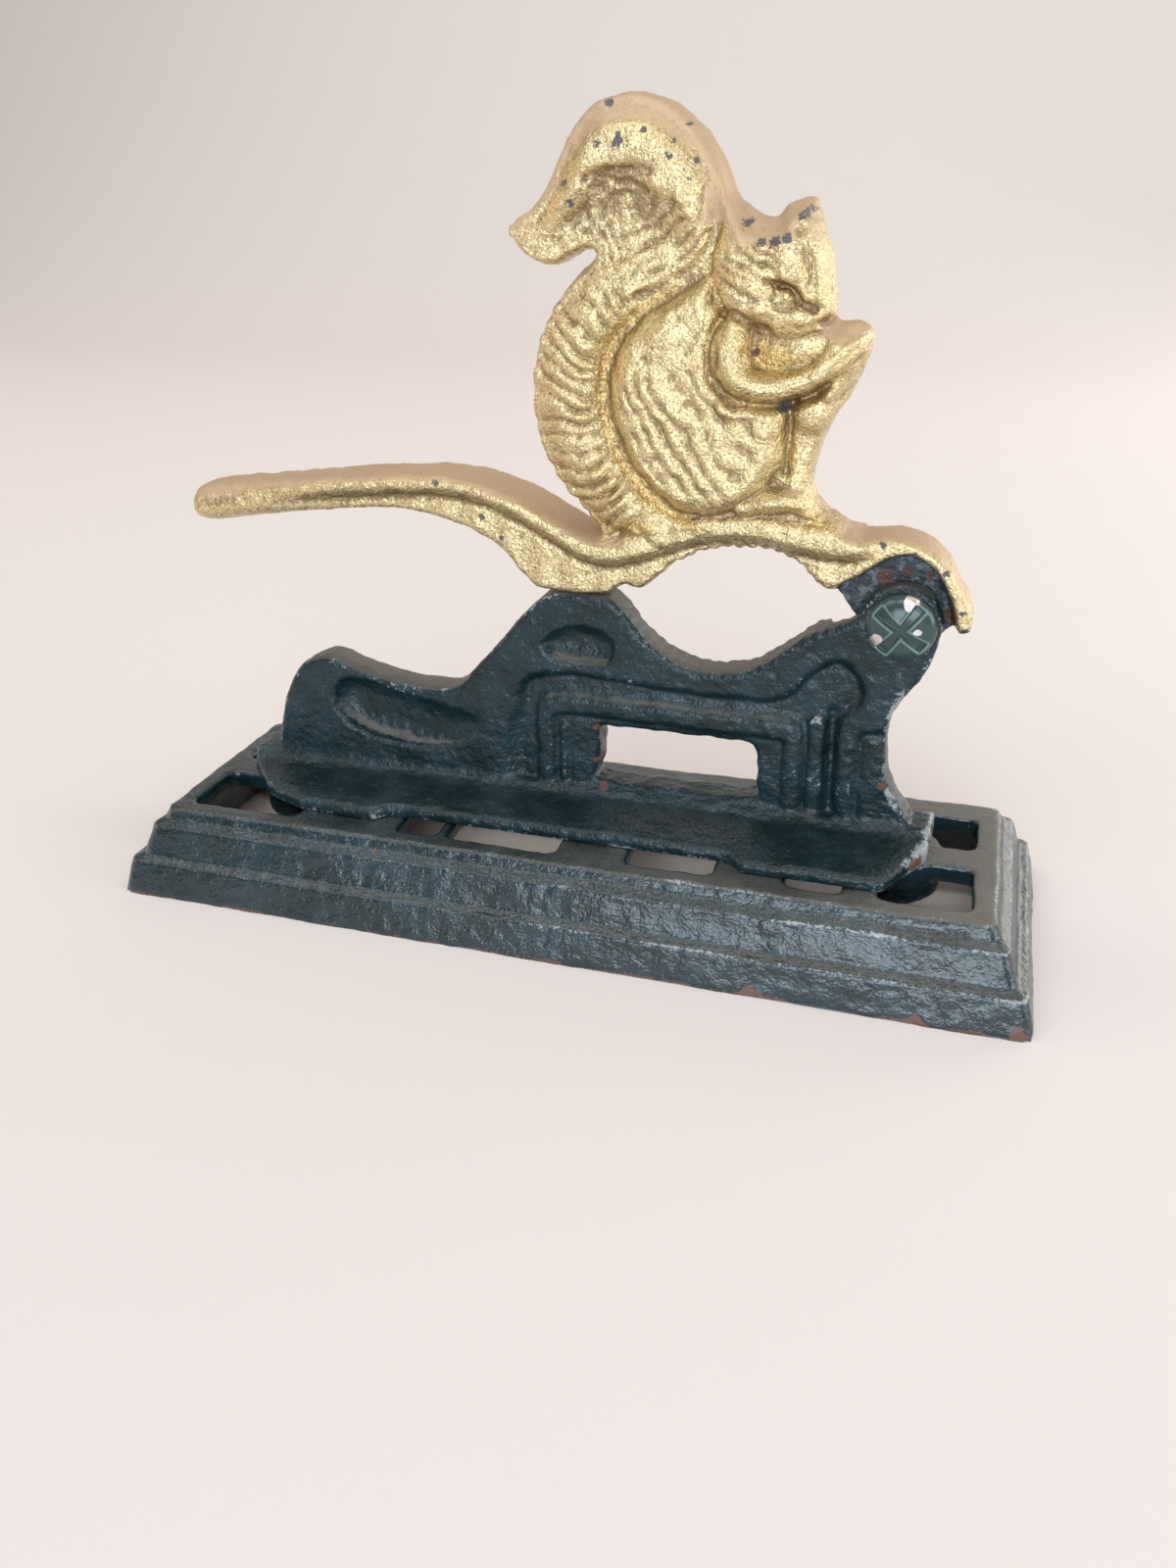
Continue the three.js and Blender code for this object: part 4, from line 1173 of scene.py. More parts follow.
    def tan_tops(self, x: Array, z: Array) -> Array:
        """Work out where the gold is painted dull tan: the upper dome and the top of the head, as dull paint
        and a painted reflection of a pale wall.

        Args:
            x: X of each corner.
            z: Z of each corner.

        Returns:
            Shares from 0 to 1.
        """
        distance, _, side, corner = Path(self.crest).measure(x, z)
        start = np.interp(corner, range(len(self.tan_from)), self.tan_from)
        dome = rise(-0.2, 5.6, distance - start) * (side > 0) * rise(134.5, 139.0, z) * rise(36, 31, x)
        crown = rise(133.0, 139.0, z - 0.45 * (x - 38)) * (x > 31)
        return np.maximum(np.maximum(dome, self.tan_tip.share(x, z)), crown)

    def deep(self, x: Array, z: Array) -> Array:
        """Work out where the valleys and the foot of the tail are painted a deeper, richer gold, as painted
        shade and inter-reflection.

        Args:
            x: X of each corner.
            z: Z of each corner.

        Returns:
            Shares from 0 to 1.
        """
        total = spotted(self.painted_warm_spots, x, z) + 0.9 * seam(self.valley, x, z, 2.3, 6) * rise(131, 126, z)
        total += 0.6 * seam(self.under_arm, x, z, 2.2, 4) + 0.6 * seam(self.over_arm, x, z, 3.2, 4)
        rim = bump(within(self.head_zone, x, z, reach=4), 2.2) * (x < 44) * (z < 138)
        return np.clip(total + 0.55 * rim, 0, 1)

    def fur(self, x: Array, z: Array) -> Array:
        """Work out the fur, the eye and the paws.

        Args:
            x: X of each corner.
            z: Z of each corner.

        Returns:
            Relief in millimetres.
        """
        wander = grain(x, z, 8.0, 1)
        patch = grain(x, z, 3.0, 2)
        total = self.tail_fur(x, z, wander, patch)
        total += self.plume_fur(x, z, wander, patch)
        total += self.body_fur(x, z, wander, patch)
        total += self.head_fur(x, z, patch)
        total += self.arm_fur(x, z)
        total += self.foot_fan(x, z, patch)
        total += self.face(x, z)
        return total

    def tail_fur(self, x: Array, z: Array, wander: Array, patch: Array) -> Array:
        """Comb ridges across the tail that slope down towards the body.

        Args:
            x: X of each corner.
            z: Z of each corner.
            wander: Slow noise that bends the strokes.
            patch: Finer noise that breaks them up.

        Returns:
            Relief in millimetres.
        """
        distance, length, side, _ = Path(self.spine).measure(x, z)
        across = distance * side
        lean = 0.05 + 0.3 * rise(103, 113, z) * rise(126, 118, z)
        place = length - lean * across
        phase = place / self.tail_pitch + wander * 0.75 + 0.2 * patch
        strong = 0.85 + 0.9 * grain(np.floor(phase) * 3.1, across, 5.0, 8)
        distance, _, turn, _ = Path(self.valley).measure(x, z)
        near = rise(0.4, 2.4, distance) * (turn < 0) * rise(83.5, 86.5, z + 0.3 * x) * rise(130, 126, z)
        near *= 0.25 + 0.75 * rise(0.0, 5.0, x + 7.5 - 0.12 * np.abs(z - 106))
        fine = combed(phase * 2.0 + 0.3) * 0.22
        return (combed(phase, 0.8) * 1.35 * strong + fine * 0.8) * near * (0.85 + 0.8 * patch)

    def plume_fur(self, x: Array, z: Array, wander: Array, patch: Array) -> Array:
        """Comb arched strokes under the dome and a fan of long strokes down to the neck.

        Args:
            x: X of each corner.
            z: Z of each corner.
            wander: Slow noise that bends the strokes.
            patch: Finer noise that breaks them up.

        Returns:
            Relief in millimetres.
        """
        distance, _, side, corner = Path(self.crest).measure(x, z)
        inner = distance * -side
        zone = within(self.plume_zone, x, z, reach=4)
        across = Path(self.flow).beside(x, z)
        sweep = combed(across / self.plume_pitch + wander * 0.9 + patch * 0.35, 0.9) * 0.6
        sweep *= rise(9.5, 7.0, np.abs(across - 1.0)) * rise(147, 141, z) * rise(9.0, 12.5, x)
        short = combed((x + 0.55 * (z - 132)) / 2.6 + wander * 0.8 + patch * 0.4, 0.9) * 0.45
        short *= rise(13.0, 10.0, x) * rise(3.0, 5.5, x) * rise(143, 139, z) * rise(124, 128, z)
        ring = np.hypot((x - 12.5) * 0.95, z - 137.5)
        arched = combed(ring / self.plume_pitch + wander * 0.8 + patch * 0.45) * 0.8
        arched *= rise(0.8, 2.0, inner) * rise(10.5, 7.0, inner)
        arched *= rise(2.6, 4.4, corner) * rise(10, 8.5, corner)
        curl = combed(inner / 2.2 + patch * 0.4 + 0.3) * 0.3 * rise(4.0, 3.0, corner)
        curl *= rise(0.2, 1.5, inner) * rise(-7.0, -3.0, x)
        dome = 0.12 * combed(distance / 3.4 + wander) * (side > 0) * rise(3.0, 5.0, corner)
        strokes = (sweep + short + arched + curl) * (0.7 + 1.2 * patch)
        return strokes * rise(0.2, 1.6, zone) + dome * rise(0, 1, zone)

    def body_fur(self, x: Array, z: Array, wander: Array, patch: Array) -> Array:
        """Comb long strokes that sweep from the back down over the haunch.

        Args:
            x: X of each corner.
            z: Z of each corner.
            wander: Slow noise that bends the strokes.
            patch: Finer noise that breaks them up.

        Returns:
            Relief in millimetres.
        """
        distance, length, side, _ = Path(self.combed_left).measure(x, z, 40)
        across = distance * side / looked_up(length, self.body_spread)
        phase = across / self.body_pitch + wander * 0.75 + 0.2 * patch
        streak = grain(np.floor(phase) * 2.7, length, 6.5, 7) + grain(x, z, 5.0, 9)
        zone = within(self.body_zone, x, z)
        strokes = combed(phase, 1.1) * 0.95 * np.clip(0.6 + 1.1 * streak, 0.1, 1.3)
        strokes *= 0.12 + 0.88 * rise(119, 108, z + 0.25 * (x - 26))
        right = rise(39, 31, x)
        arm = rise(2.6, 4.4, Path(self.arm.points).measure(x, z, 8)[0])
        head = within(self.head_zone, x, z, reach=6)
        mottle = 0.55 * patch + 0.5 * wander
        total = strokes * (0.3 + 0.7 * right) + mottle
        return total * rise(1.0, 3.4, zone) * arm * rise(0.6, -0.6, head)

    def head_fur(self, x: Array, z: Array, patch: Array) -> Array:
        """Comb strokes back from the eye over the cheek.

        Args:
            x: X of each corner.
            z: Z of each corner.
            patch: Fine noise that breaks the strokes up.

        Returns:
            Relief in millimetres.
        """
        above = Path(self.jaw_line).beside(x, z)
        phase = above / looked_up(x, self.cheek_pitch) + patch * 0.45
        zone = within(self.head_zone, x, z, reach=6)
        near = rise(0.8, 2.2, zone) * rise(44.0, 40.0, x) * rise(137.0, 134.5, z) * rise(-0.8, 0.6, above)
        eye = rise(1.0, 1.5, self.eye_ring.reach(x, z))
        return (combed(phase, 0.85) * 0.75 + 0.5 * patch) * near * eye * (0.85 + 0.9 * patch)

    def foot_fan(self, x: Array, z: Array, patch: Array) -> Array:
        """Wrinkle the foot of the tail and the ground under the squirrel.

        Args:
            x: X of each corner.
            z: Z of each corner.
            patch: Fine noise that breaks the wrinkles up.

        Returns:
            Relief in millimetres.
        """
        angle = np.degrees(np.arctan2(z - 96.0, x - 12.0))
        ground = bump(z - 86.5, 3.2) * rise(22, 27, x) * rise(58, 52, x)
        wrinkle = combed(angle / 7.5 + patch * 1.2) * 0.34 * self.tail_foot.share(x, z)
        return wrinkle + 0.5 * grain(x, z, 1.9, 12) * ground

    def arm_fur(self, x: Array, z: Array) -> Array:
        """Comb a few strokes along the arm.

        Args:
            x: X of each corner.
            z: Z of each corner.

        Returns:
            Relief in millimetres.
        """
        distance, _, side, corner = Path(self.arm.points).measure(x, z, 6)
        along = combed(distance * side / self.arm_pitch + 0.5 + 0.5 * grain(x, z, 6.0, 13)) * 0.4
        return along * rise(3.4, 2.2, distance) * rise(0.8, 1.6, corner) * rise(6.4, 5.4, corner)

    def face(self, x: Array, z: Array) -> Array:
        """Shape the eye, the nose, the mouth, the fingers and the toes.

        Args:
            x: X of each corner.
            z: Z of each corner.

        Returns:
            Relief in millimetres.
        """
        ring = self.eye.reach(x, z)
        total = 1.9 * np.clip(1 - ring ** 2, 0, 1) ** 0.6 - 0.3 * bump(ring - 1.3, 0.5)
        total += 0.35 * seam(self.lid, x, z, 0.9, 2) - self.nostril.share(x, z)
        for line, half, sunk in self.fine_cuts:
            total -= sunk * seam(line, x, z, half, 2)
        return total


@dataclass
class Lever:
    """The gold lever: handle, upper jaw, hood and tang, with the squirrel on it."""

    middle: float = 3.2
    top: float = 158.66
    voxel: float = 0.43
    pivot: Pair = (66.7, 67.9)
    bore: float = 3.2
    bead_half: float = 7.4
    web_half: float = 5.2
    hood_half: float = 5.7
    tang_front: float = 3.5
    tang_back: float = 7.4
    blank_half: float = 3.5
    figure: Squirrel = field(default_factory=Squirrel)
    handle_top: Line = (
        (-87.7, 81.4), (-87.2, 84.4), (-84.0, 86.9), (-76.0, 88.2), (-63.5, 89.4), (-46.0, 91.1),
        (-29.8, 92.2), (-19.2, 91.3), (-9.5, 88.2), (-1.8, 84.5), (2.8, 82.4), (6.2, 81.6))
    tail_edge: Line = (
        (6.8, 82.6), (3.4, 86.6), (-1.0, 91.4), (-4.6, 97.6), (-6.4, 104.5), (-6.4, 111.0), (-4.8, 118.6),
        (-0.3, 126.4), (5.6, 132.0), (6.6, 133.4))
    plume_edge: Line = (
        (5.6, 134.0), (2.4, 133.2), (-1.6, 131.2), (-4.6, 131.9), (-7.8, 134.2), (-9.4, 137.2),
        (-8.0, 139.2), (-4.6, 141.5), (-1.5, 146.4), (1.7, 152.3), (5.1, 156.1), (9.4, 158.2), (15.0, 158.5),
        (20.3, 156.8), (25.3, 152.9), (29.0, 147.5), (31.6, 142.6))
    head_edge: Line = (
        (31.9, 142.1), (35.6, 139.5), (38.6, 138.9), (40.7, 140.8), (43.2, 141.9), (45.3, 141.9),
        (46.2, 139.6), (47.3, 136.4), (48.6, 132.9), (49.3, 128.6), (49.8, 125.1), (50.0, 122.7))
    chest_edge: Line = (
        (50.9, 122.2), (54.6, 122.1), (56.6, 120.2), (56.4, 117.2), (55.0, 113.0), (52.6, 108.2),
        (49.5, 102.2), (48.0, 97.0), (47.7, 93.3), (49.2, 89.7), (53.0, 86.9), (57.0, 84.5))
    hood_edge: Line = (
        (58.0, 84.2), (62.4, 84.8), (66.6, 84.6), (70.6, 83.1), (74.0, 80.0), (76.6, 75.8), (79.1, 71.6),
        (79.4, 68.6), (78.6, 67.5), (76.2, 67.2))
    tang_edge: Line = (
        (75.4, 67.0), (74.3, 65.6), (72.6, 63.2), (69.8, 61.2), (66.4, 60.5), (63.2, 61.4), (60.6, 63.4),
        (57.6, 67.6), (53.9, 72.6))
    jaw_edge: Line = (
        (53.2, 74.1), (51.6, 74.4), (48.2, 77.3), (44.4, 80.0), (39.1, 81.3), (33.0, 81.1), (26.9, 79.6),
        (22.3, 77.4), (18.6, 74.0), (16.2, 71.9))
    heel_edge: Line = (
        (15.0, 71.3), (13.4, 71.4), (11.6, 71.9), (9.6, 70.6), (7.4, 69.6), (1.0, 69.3), (-2.6, 69.4),
        (-7.4, 70.0))
    tooth_pitch: float = 2.4
    tooth_depth: float = 0.6
    handle_bottom: Line = (
        (-10.6, 73.0), (-14.1, 77.2), (-20.3, 80.8), (-27.6, 83.1), (-35.4, 84.4), (-44.0, 84.3),
        (-61.0, 82.3), (-77.6, 79.8), (-82.6, 79.2), (-86.2, 79.6))
    recess_edge: Line = (
        (52.8, 70.9), (53.6, 74.4), (57.6, 77.0), (62.6, 80.6), (66.9, 81.8), (71.0, 80.0), (73.8, 76.4),
        (75.9, 72.0), (77.3, 66.4))
    chip_spread: float = 2.2
    chips: tuple[Triple, ...] = (
        (9.8, 157.1, 0.65), (12.4, 151.6, 0.8), (12.0, 150.8, 0.6), (8.7, 150.8, 0.6), (21.2, 148.8, 0.6),
        (23.7, 153.4, 0.4), (21.8, 150.9, 0.3), (16.7, 152.6, 0.45), (24.7, 145.2, 0.3), (2.0, 144.9, 0.6),
        (3.0, 141.6, 0.6), (25.3, 147.9, 0.5), (34.4, 138.3, 0.75), (37.6, 135.3, 0.7), (39.9, 135.5, 0.9),
        (42.0, 136.1, 0.9), (44.2, 139.3, 0.8), (45.0, 140.4, 0.7), (42.3, 108.0, 1.0), (-27.0, 91.0, 0.6),
        (-22.0, 88.5, 0.5), (-18.0, 84.0, 0.6), (-14.0, 80.0, 0.5), (62.0, 83.6, 0.6), (68.0, 82.4, 0.5),
        (73.8, 79.0, 0.6), (77.6, 71.5, 0.6))
    bare_tip: Pair = (78.4, 67.6)
    bare_chest: Pair = (37.1, 117.4)
    rust_spots: tuple[Spot, ...] = (
        Spot(62.4, 75.8, 2.6), Spot(66.5, 77.4, 1.6), Spot(75.6, 69.6, 3.6), Spot(70.8, 76.8, 1.6),
        Spot(37.1, 117.4, 3.0))
    bead_line: Line = (
        (-86.5, 83.4), (-80.8, 86.3), (-63.5, 88.8), (-46.0, 90.5), (-29.8, 91.6), (-19.2, 90.8),
        (-9.5, 87.4), (-1.4, 83.1), (4.6, 79.9), (10.4, 79.5), (18.6, 82.2), (28.0, 85.2), (38.0, 86.0),
        (48.0, 84.2), (55.0, 83.6), (60.0, 84.6))

    def outline(self) -> Array:
        """Run the casting's outline round, with a corner where two curves meet.

        Returns:
            The corners, one a row.
        """
        before = (
            self.handle_top, self.tail_edge, self.plume_edge, self.head_edge, self.chest_edge,
            self.hood_edge, self.tang_edge)
        runs = [smooth_run(run, EDGE_STEPS) for run in before]
        runs.append(toothed(self.jaw_edge, self.tooth_pitch, self.tooth_depth))
        runs += [smooth_run(run, EDGE_STEPS) for run in (self.heel_edge, self.handle_bottom)]
        return np.vstack(runs)

    def build(self, paint: bpy.types.Material) -> None:
        """Cast, shape and paint the lever.

        Args:
            paint: The gold paint.
        """
        rim = self.outline()
        loops = [rim, arc(self.pivot, self.bore, FULL_TURN)]
        low, high = self.middle - self.blank_half, self.middle + self.blank_half
        obj = store("lever_casting", block(loops, low, high))
        recast(obj, self.voxel)
        skin = Skin(obj)
        x, z = skin.at[:, 0], skin.at[:, 2]
        side = np.clip((skin.at[:, 1] - self.middle) / self.blank_half, -1, 1)
        inside = edge_gap(rim, x, z)
        front, back = self.depths(x, z, inside)
        skin.at[:, 1] = self.middle - front + (front + back) * (side + 1) / 2
        keep = np.clip(skin.averaged(inside, 2), 0.15, 1)
        skin.relax(2, keep * 0.7)
        skin.store()
        skin.swell(self.figure.fur(x, z) * np.abs(skin.normals()[:, 1]) ** 0.5)
        lumps = grain(skin.at[:, 0], skin.at[:, 2], 3.4, 5, skin.at[:, 1])
        lumps *= 0.12 + 0.2 * rise(84, 90, skin.at[:, 2])
        lumps += grain(skin.at[:, 0], skin.at[:, 2], 1.35, 6, skin.at[:, 1]) * 0.13
        skin.swell(lumps)
        skin.at[:, 2] = np.minimum(skin.at[:, 2], self.top)
        skin.store()
        self.mark(skin, inside)
        dress(obj, paint, Slot.GOLD, Body.LEVER, "squirrel_lever")

    def mark(self, skin: Skin, inside: Array) -> None:
        """Keep what the paint reads: hollows with painted shade, upward faces painted dull tan, worn places,
        the bare recess and rust.

        Args:
            skin: The casting's corners.
            inside: Distance of each corner from the outline.
        """
        x, z = skin.at[:, 0], skin.at[:, 2]
        handle = rise(-14, -52, x) * rise(93.5, 91.0, z)
        bead = seam(self.bead_line, x, z, 4.0, 6)
        deep = self.figure.deep(x, z)
        # Painted shade in the fur's fine grooves, in wide hollows and under the squirrel's forms; the
        # handle's front is painted darker, more along the bead.
        fine = np.clip(skin.hollows(8) * 5.0, -0.1, 0.8) * (1 - 0.8 * deep) * (1 - 0.5 * bead)
        hollow = skin.averaged(skin.hollows(40), 4) * (0.6 - 0.4 * deep) + fine + self.figure.shaded(x, z)
        skin.mark("hollow", np.clip(hollow + handle * (0.45 + 0.3 * bead), -1, 1.2))
        relief = rise(2.5, 5.5, inside) * (z > 86) * (x > -12)
        # Upward faces and the tan tops are painted dull tan: dull paint, and a painted reflection of a pale
        # wall.
        upward = skin.averaged(skin.normals()[:, 2], 10) * (1 - 0.8 * relief)
        skin.mark("upward", np.clip(upward + 0.56 * self.figure.tan_tops(x, z), 0, 1))
        skin.mark("deep", deep)
        front = rise(self.middle + 3, self.middle - 1, skin.at[:, 1])
        worn = np.zeros_like(x)
        for chip_x, chip_z, reach in self.chips:
            worn = np.maximum(worn, Spot(chip_x, chip_z, reach * self.chip_spread).share(x, z) * front)
        skin.mark("worn", worn)
        recess = -Path(self.recess_edge).beside(x, z)
        recess = np.where((x > 52.6) & (skin.at[:, 1] < self.tang_back + 0.4), recess, -9.0)
        recess = np.maximum(recess, 1.2 - 0.9 * np.hypot(x - self.bare_tip[0], z - self.bare_tip[1]))
        recess = np.maximum(recess, 0.7 - np.hypot(x - self.bare_chest[0], z - self.bare_chest[1]))
        skin.mark("recess", np.clip(recess, -4, 4))
        skin.mark("rusty", np.clip(spotted(self.rust_spots, x, z), 0, 1) * (recess > -0.6))

    def depths(self, x: Array, z: Array, inside: Array) -> tuple[Array, Array]:
        """Work out how far the front and the back stand from the middle plane.

        Args:
            x: X of each corner.
            z: Z of each corner.
            inside: Distance of each corner from the outline.

        Returns:
            Depths in millimetres, front and back.
        """
        lever = self.lever_depth(x, z, inside)
        figure = self.figure.depth(x, z, inside)
        distance, _, turn, _ = Path(self.bead_line).measure(x, z)
        above = rise(0.2, 2.6, distance * turn) * (x > -9) * (x < 60)
        both = between(lever, np.maximum(figure, 1.0), above)
        bead_join = self.bead_half * bump(distance, 3.2)
        both = np.where(above > 0, np.maximum(both, bead_join * (1 - 0.35 * above)), both)
        recess = rise(-0.3, 0.9, -Path(self.recess_edge).beside(x, z)) * (x > 52.6)
        front = between(both, self.middle - self.tang_front, recess)
        return front, between(both, self.tang_back - self.middle, recess)

    def lever_depth(self, x: Array, z: Array, inside: Array) -> Array:
        """Work out the half width of the handle, the jaw and the hood.

        Args:
            x: X of each corner.
            z: Z of each corner.
            inside: Distance of each corner from the outline.

        Returns:
            Depths in millimetres from the middle plane.
        """
        distance, _, turn, _ = Path(self.bead_line).measure(x, z)
        below = np.where(turn < 0, distance, 0)
        bead = self.bead_half - 1.5 * (1 - round_up(inside / 1.7))
        web = self.web_half - 1.0 * (1 - round_up(inside / 1.3)) + 0.15 * np.sin(x * 0.9)
        groove = rise(1.3, 4.2, below) + 0.12 * bump(below - 3.9, 0.9)
        runout = rise(-74, -46, x)
        tip = (self.bead_half - 0.5) * (0.35 + 0.65 * round_up(inside / 3.6))
        handle = between(tip, between(bead, web, groove), runout)
        handle *= 0.35 + 0.65 * round_up((x + 88.6) / 6.0)
        hood = self.hood_half - 1.2 * (1 - round_up(inside / 1.5))
        return between(handle, hood, rise(56, 62, x))


@dataclass
class Frame:
    """The dark green frame: an upright plate with relief on a foot flange."""

    voxel: float = 0.5
    front: float = -1.0
    back: float = 7.4
    lap: float = 3.2
    pivot: Pair = (66.7, 67.9)
    bore: float = 3.2
    rabbet: float = 13.9
    base_top: float = 18.6
    tooth_pitch: float = 2.6
    tooth_depth: float = 0.55
    tongue: Line = (
        (-75.5, 18.6), (-74.0, 27.4), (-71.4, 36.8), (-68.4, 43.0), (-65.6, 46.6), (-61.6, 48.7),
        (-57.6, 49.2), (-49.2, 46.4), (-38.4, 44.6), (-30.6, 44.5), (-26.4, 46.1), (-22.6, 50.1),
        (-18.4, 54.6), (-13.6, 60.3), (-9.6, 64.6), (-6.2, 67.6), (-3.0, 68.8))
    peak: Line = ((-1.6, 68.95), (3.0, 68.95), (7.2, 68.9))
    jaw: Line = (
        (8.2, 68.4), (10.8, 66.1), (15.2, 60.6), (19.6, 57.2), (25.2, 54.9), (31.1, 54.4), (37.0, 55.6),
        (41.5, 58.1), (45.3, 61.0), (49.5, 64.4), (54.9, 66.8), (58.0, 68.4), (59.2, 70.0))
    neck: Line = (
        (74.2, 67.0), (73.3, 62.2), (71.4, 57.1), (68.9, 53.2), (66.6, 48.8), (65.9, 43.8), (66.4, 36.1),
        (68.2, 31.2), (71.9, 25.4), (74.5, 18.6))
    window: Line = (
        (5.4, 26.2), (5.0, 30.0), (5.6, 35.0), (5.2, 38.6), (7.6, 39.3), (22.0, 39.2), (36.6, 39.1),
        (39.4, 37.6), (40.0, 34.0), (39.8, 30.0), (39.0, 26.2), (22.0, 25.8))
    recess: Line = (
        (-17.3, 12.0), (-17.1, 24.0), (-17.0, 34.4), (-15.3, 41.9), (-12.1, 47.9), (-7.8, 50.6),
        (2.4, 51.5), (22.2, 50.0), (36.0, 49.8), (41.6, 50.0), (46.0, 52.0), (49.4, 56.2), (54.3, 59.8),
        (57.3, 59.2), (60.8, 55.2), (61.0, 50.6), (58.2, 47.4), (56.9, 44.0), (56.9, 30.0),
        (57.2, 12.0), (20.0, 11.0))
    rib: Line = (
        (-6.6, 12.0), (-6.6, 24.0), (-6.6, 36.0), (-6.4, 41.2), (-4.4, 43.0), (0.0, 43.4), (12.0, 43.3),
        (24.0, 42.9), (36.0, 42.9), (43.0, 42.9), (46.4, 42.4), (47.2, 39.8), (47.3, 32.0),
        (47.3, 22.0), (47.4, 12.0))
    inner_ridge: Line = ((-2.8, 12.0), (-2.8, 26.0), (-2.5, 38.6))
    post: Line = ((52.1, 12.0), (52.0, 34.0), (52.0, 45.4))
    slot: Line = ((55.5, 12.0), (55.4, 34.0), (54.7, 47.8))
    hook: Line = ((66.5, 44.4), (63.4, 44.1), (61.4, 43.4), (60.8, 41.0), (60.8, 32.0), (60.8, 23.0))
    scoop_zone: Line = (
        (-57.0, 42.4), (-58.0, 39.0), (-57.0, 35.6), (-52.7, 32.2), (-46.7, 30.4), (-38.1, 29.6),
        (-29.5, 30.6), (-23.4, 33.6), (-21.6, 37.6), (-26.0, 39.6), (-35.0, 41.2), (-44.3, 43.2),
        (-50.6, 44.6), (-54.6, 44.4))
    dimple_zone: Line = (
        (-6.6, 57.0), (-4.8, 54.8), (-1.5, 53.8), (2.5, 53.5), (6.6, 53.9), (9.0, 55.6), (8.9, 58.6),
        (6.2, 61.0), (1.6, 61.9), (-2.6, 60.9), (-5.4, 59.1))
    foot: Line = (
        (77.0, 7.4), (-81.0, 7.4), (-81.0, -1.0), (-80.4, -2.6), (-75.0, -8.6), (-70.6, -13.4),
        (-60.0, -17.7), (-41.6, -18.3), (-39.4, -15.2), (37.8, -15.5), (41.0, -18.5), (68.8, -18.6),
        (76.4, -4.6))
    foot_top: float = 22.8
    foot_slope: Line = ((-18.6, 21.4), (-3.6, 22.7), (-1.9, 23.3), (-1.0, 24.6), (8.0, 24.8))
    ear: float = 7.7
    front_round: Pair = (0.9, 1.1)
    back_round: Pair = (0.7, 1.0)
    recess_depth: float = 1.9
    rib_bevel: float = 1.9
    scoop_depths: Line = (
        (-58.0, 3.2), (-54.0, 3.9), (-46.0, 3.7), (-36.0, 2.7), (-27.0, 1.6), (-21.0, 0.5))
    scoop_walls: Line = ((-58.0, 3.6), (-50.0, 4.4), (-36.0, 5.0), (-22.0, 4.0))
    dimple_depth: float = 3.0
    bare_toe: Spot = Spot(76.5, 21.0, 7.0, 0.85)
    rust_spots: tuple[Spot, ...] = (
        Spot(66.0, 33.2, 1.8), Spot(5.0, 39.0, 1.7), Spot(4.8, 31.0, 1.3), Spot(74.4, 20.5, 2.2),
        Spot(6.4, 25.0, 1.5))

    def plate_outline(self) -> Array:
        """Run the plate's outline round, with scalloped teeth along the jaw.

        Returns:
            The corners, one a row.
        """
        jaw = toothed(self.jaw, self.tooth_pitch, self.tooth_depth)
        ear = arc(self.pivot, self.ear, np.radians(np.linspace(163, 2, 18)))
        return np.vstack([
            smooth_run(self.tongue, EDGE_STEPS), np.asarray(self.peak), jaw, ear,
            smooth_run(self.neck, EDGE_STEPS)])

    def build(self, paint: bpy.types.Material) -> None:
        """Cast, shape and paint the frame.

        Args:
            paint: The green paint.
        """
        rim = self.plate_outline()
        window = smooth_run(self.window, 5, closed=True)
        loops = [rim, window, arc(self.pivot, self.bore, FULL_TURN)]
        obj = store("frame_casting", block(loops, self.front, self.back))
        recast(obj, self.voxel)
        skin = Skin(obj)
        x, z = skin.at[:, 0], skin.at[:, 2]
        side = np.clip((skin.at[:, 1] - self.front) / (self.back - self.front), 0, 1)
        open_edge = np.minimum(edge_gap(rim, x, z), edge_gap(window, x, z))
        drop, reach = self.front_round
        front = self.front + self.relief(x, z) + drop * (1 - round_up(open_edge / reach))
        away = np.hypot(x - self.pivot[0], z - self.pivot[1])
        cut = rise(self.rabbet + 0.25, self.rabbet - 0.25, away)
        drop, reach = self.back_round
        back = between(self.back - drop * (1 - round_up(open_edge / reach)), self.lap, cut)
        skin.at[:, 1] = front + (back - front) * side
        skin.relax(1, np.full(len(x), 0.5))
        skin.store()
        join_meshes(obj, self.flange())
        recast(obj, self.voxel)
        self.finish(obj)
        dress(obj, paint, Slot.CAST, Body.STAND, "anvil_frame")

    def flange(self) -> bpy.types.Object:
        """Build the foot flange, thinner towards its front edge.

        Returns:
            The flange, to be joined to the plate.
        """
        plan = np.asarray(self.foot)
        obj = store("flange", block([plan], self.base_top, self.foot_top, upright=False))
        recast(obj, self.voxel)
        skin = Skin(obj)
        x, y, z = skin.at.T
        share = (z - self.base_top) / (self.foot_top - self.base_top)
        slope = looked_up(y, self.foot_slope)
        slope -= 1.1 * (1 - round_up(edge_gap(plan, x, y) / 1.6)) * (y < 6.5)
        slope += 0.25 * grain(x, y, 14.0, 11)
        skin.at[:, 2] = self.base_top + share * (slope - self.base_top)
        skin.store()
        return obj

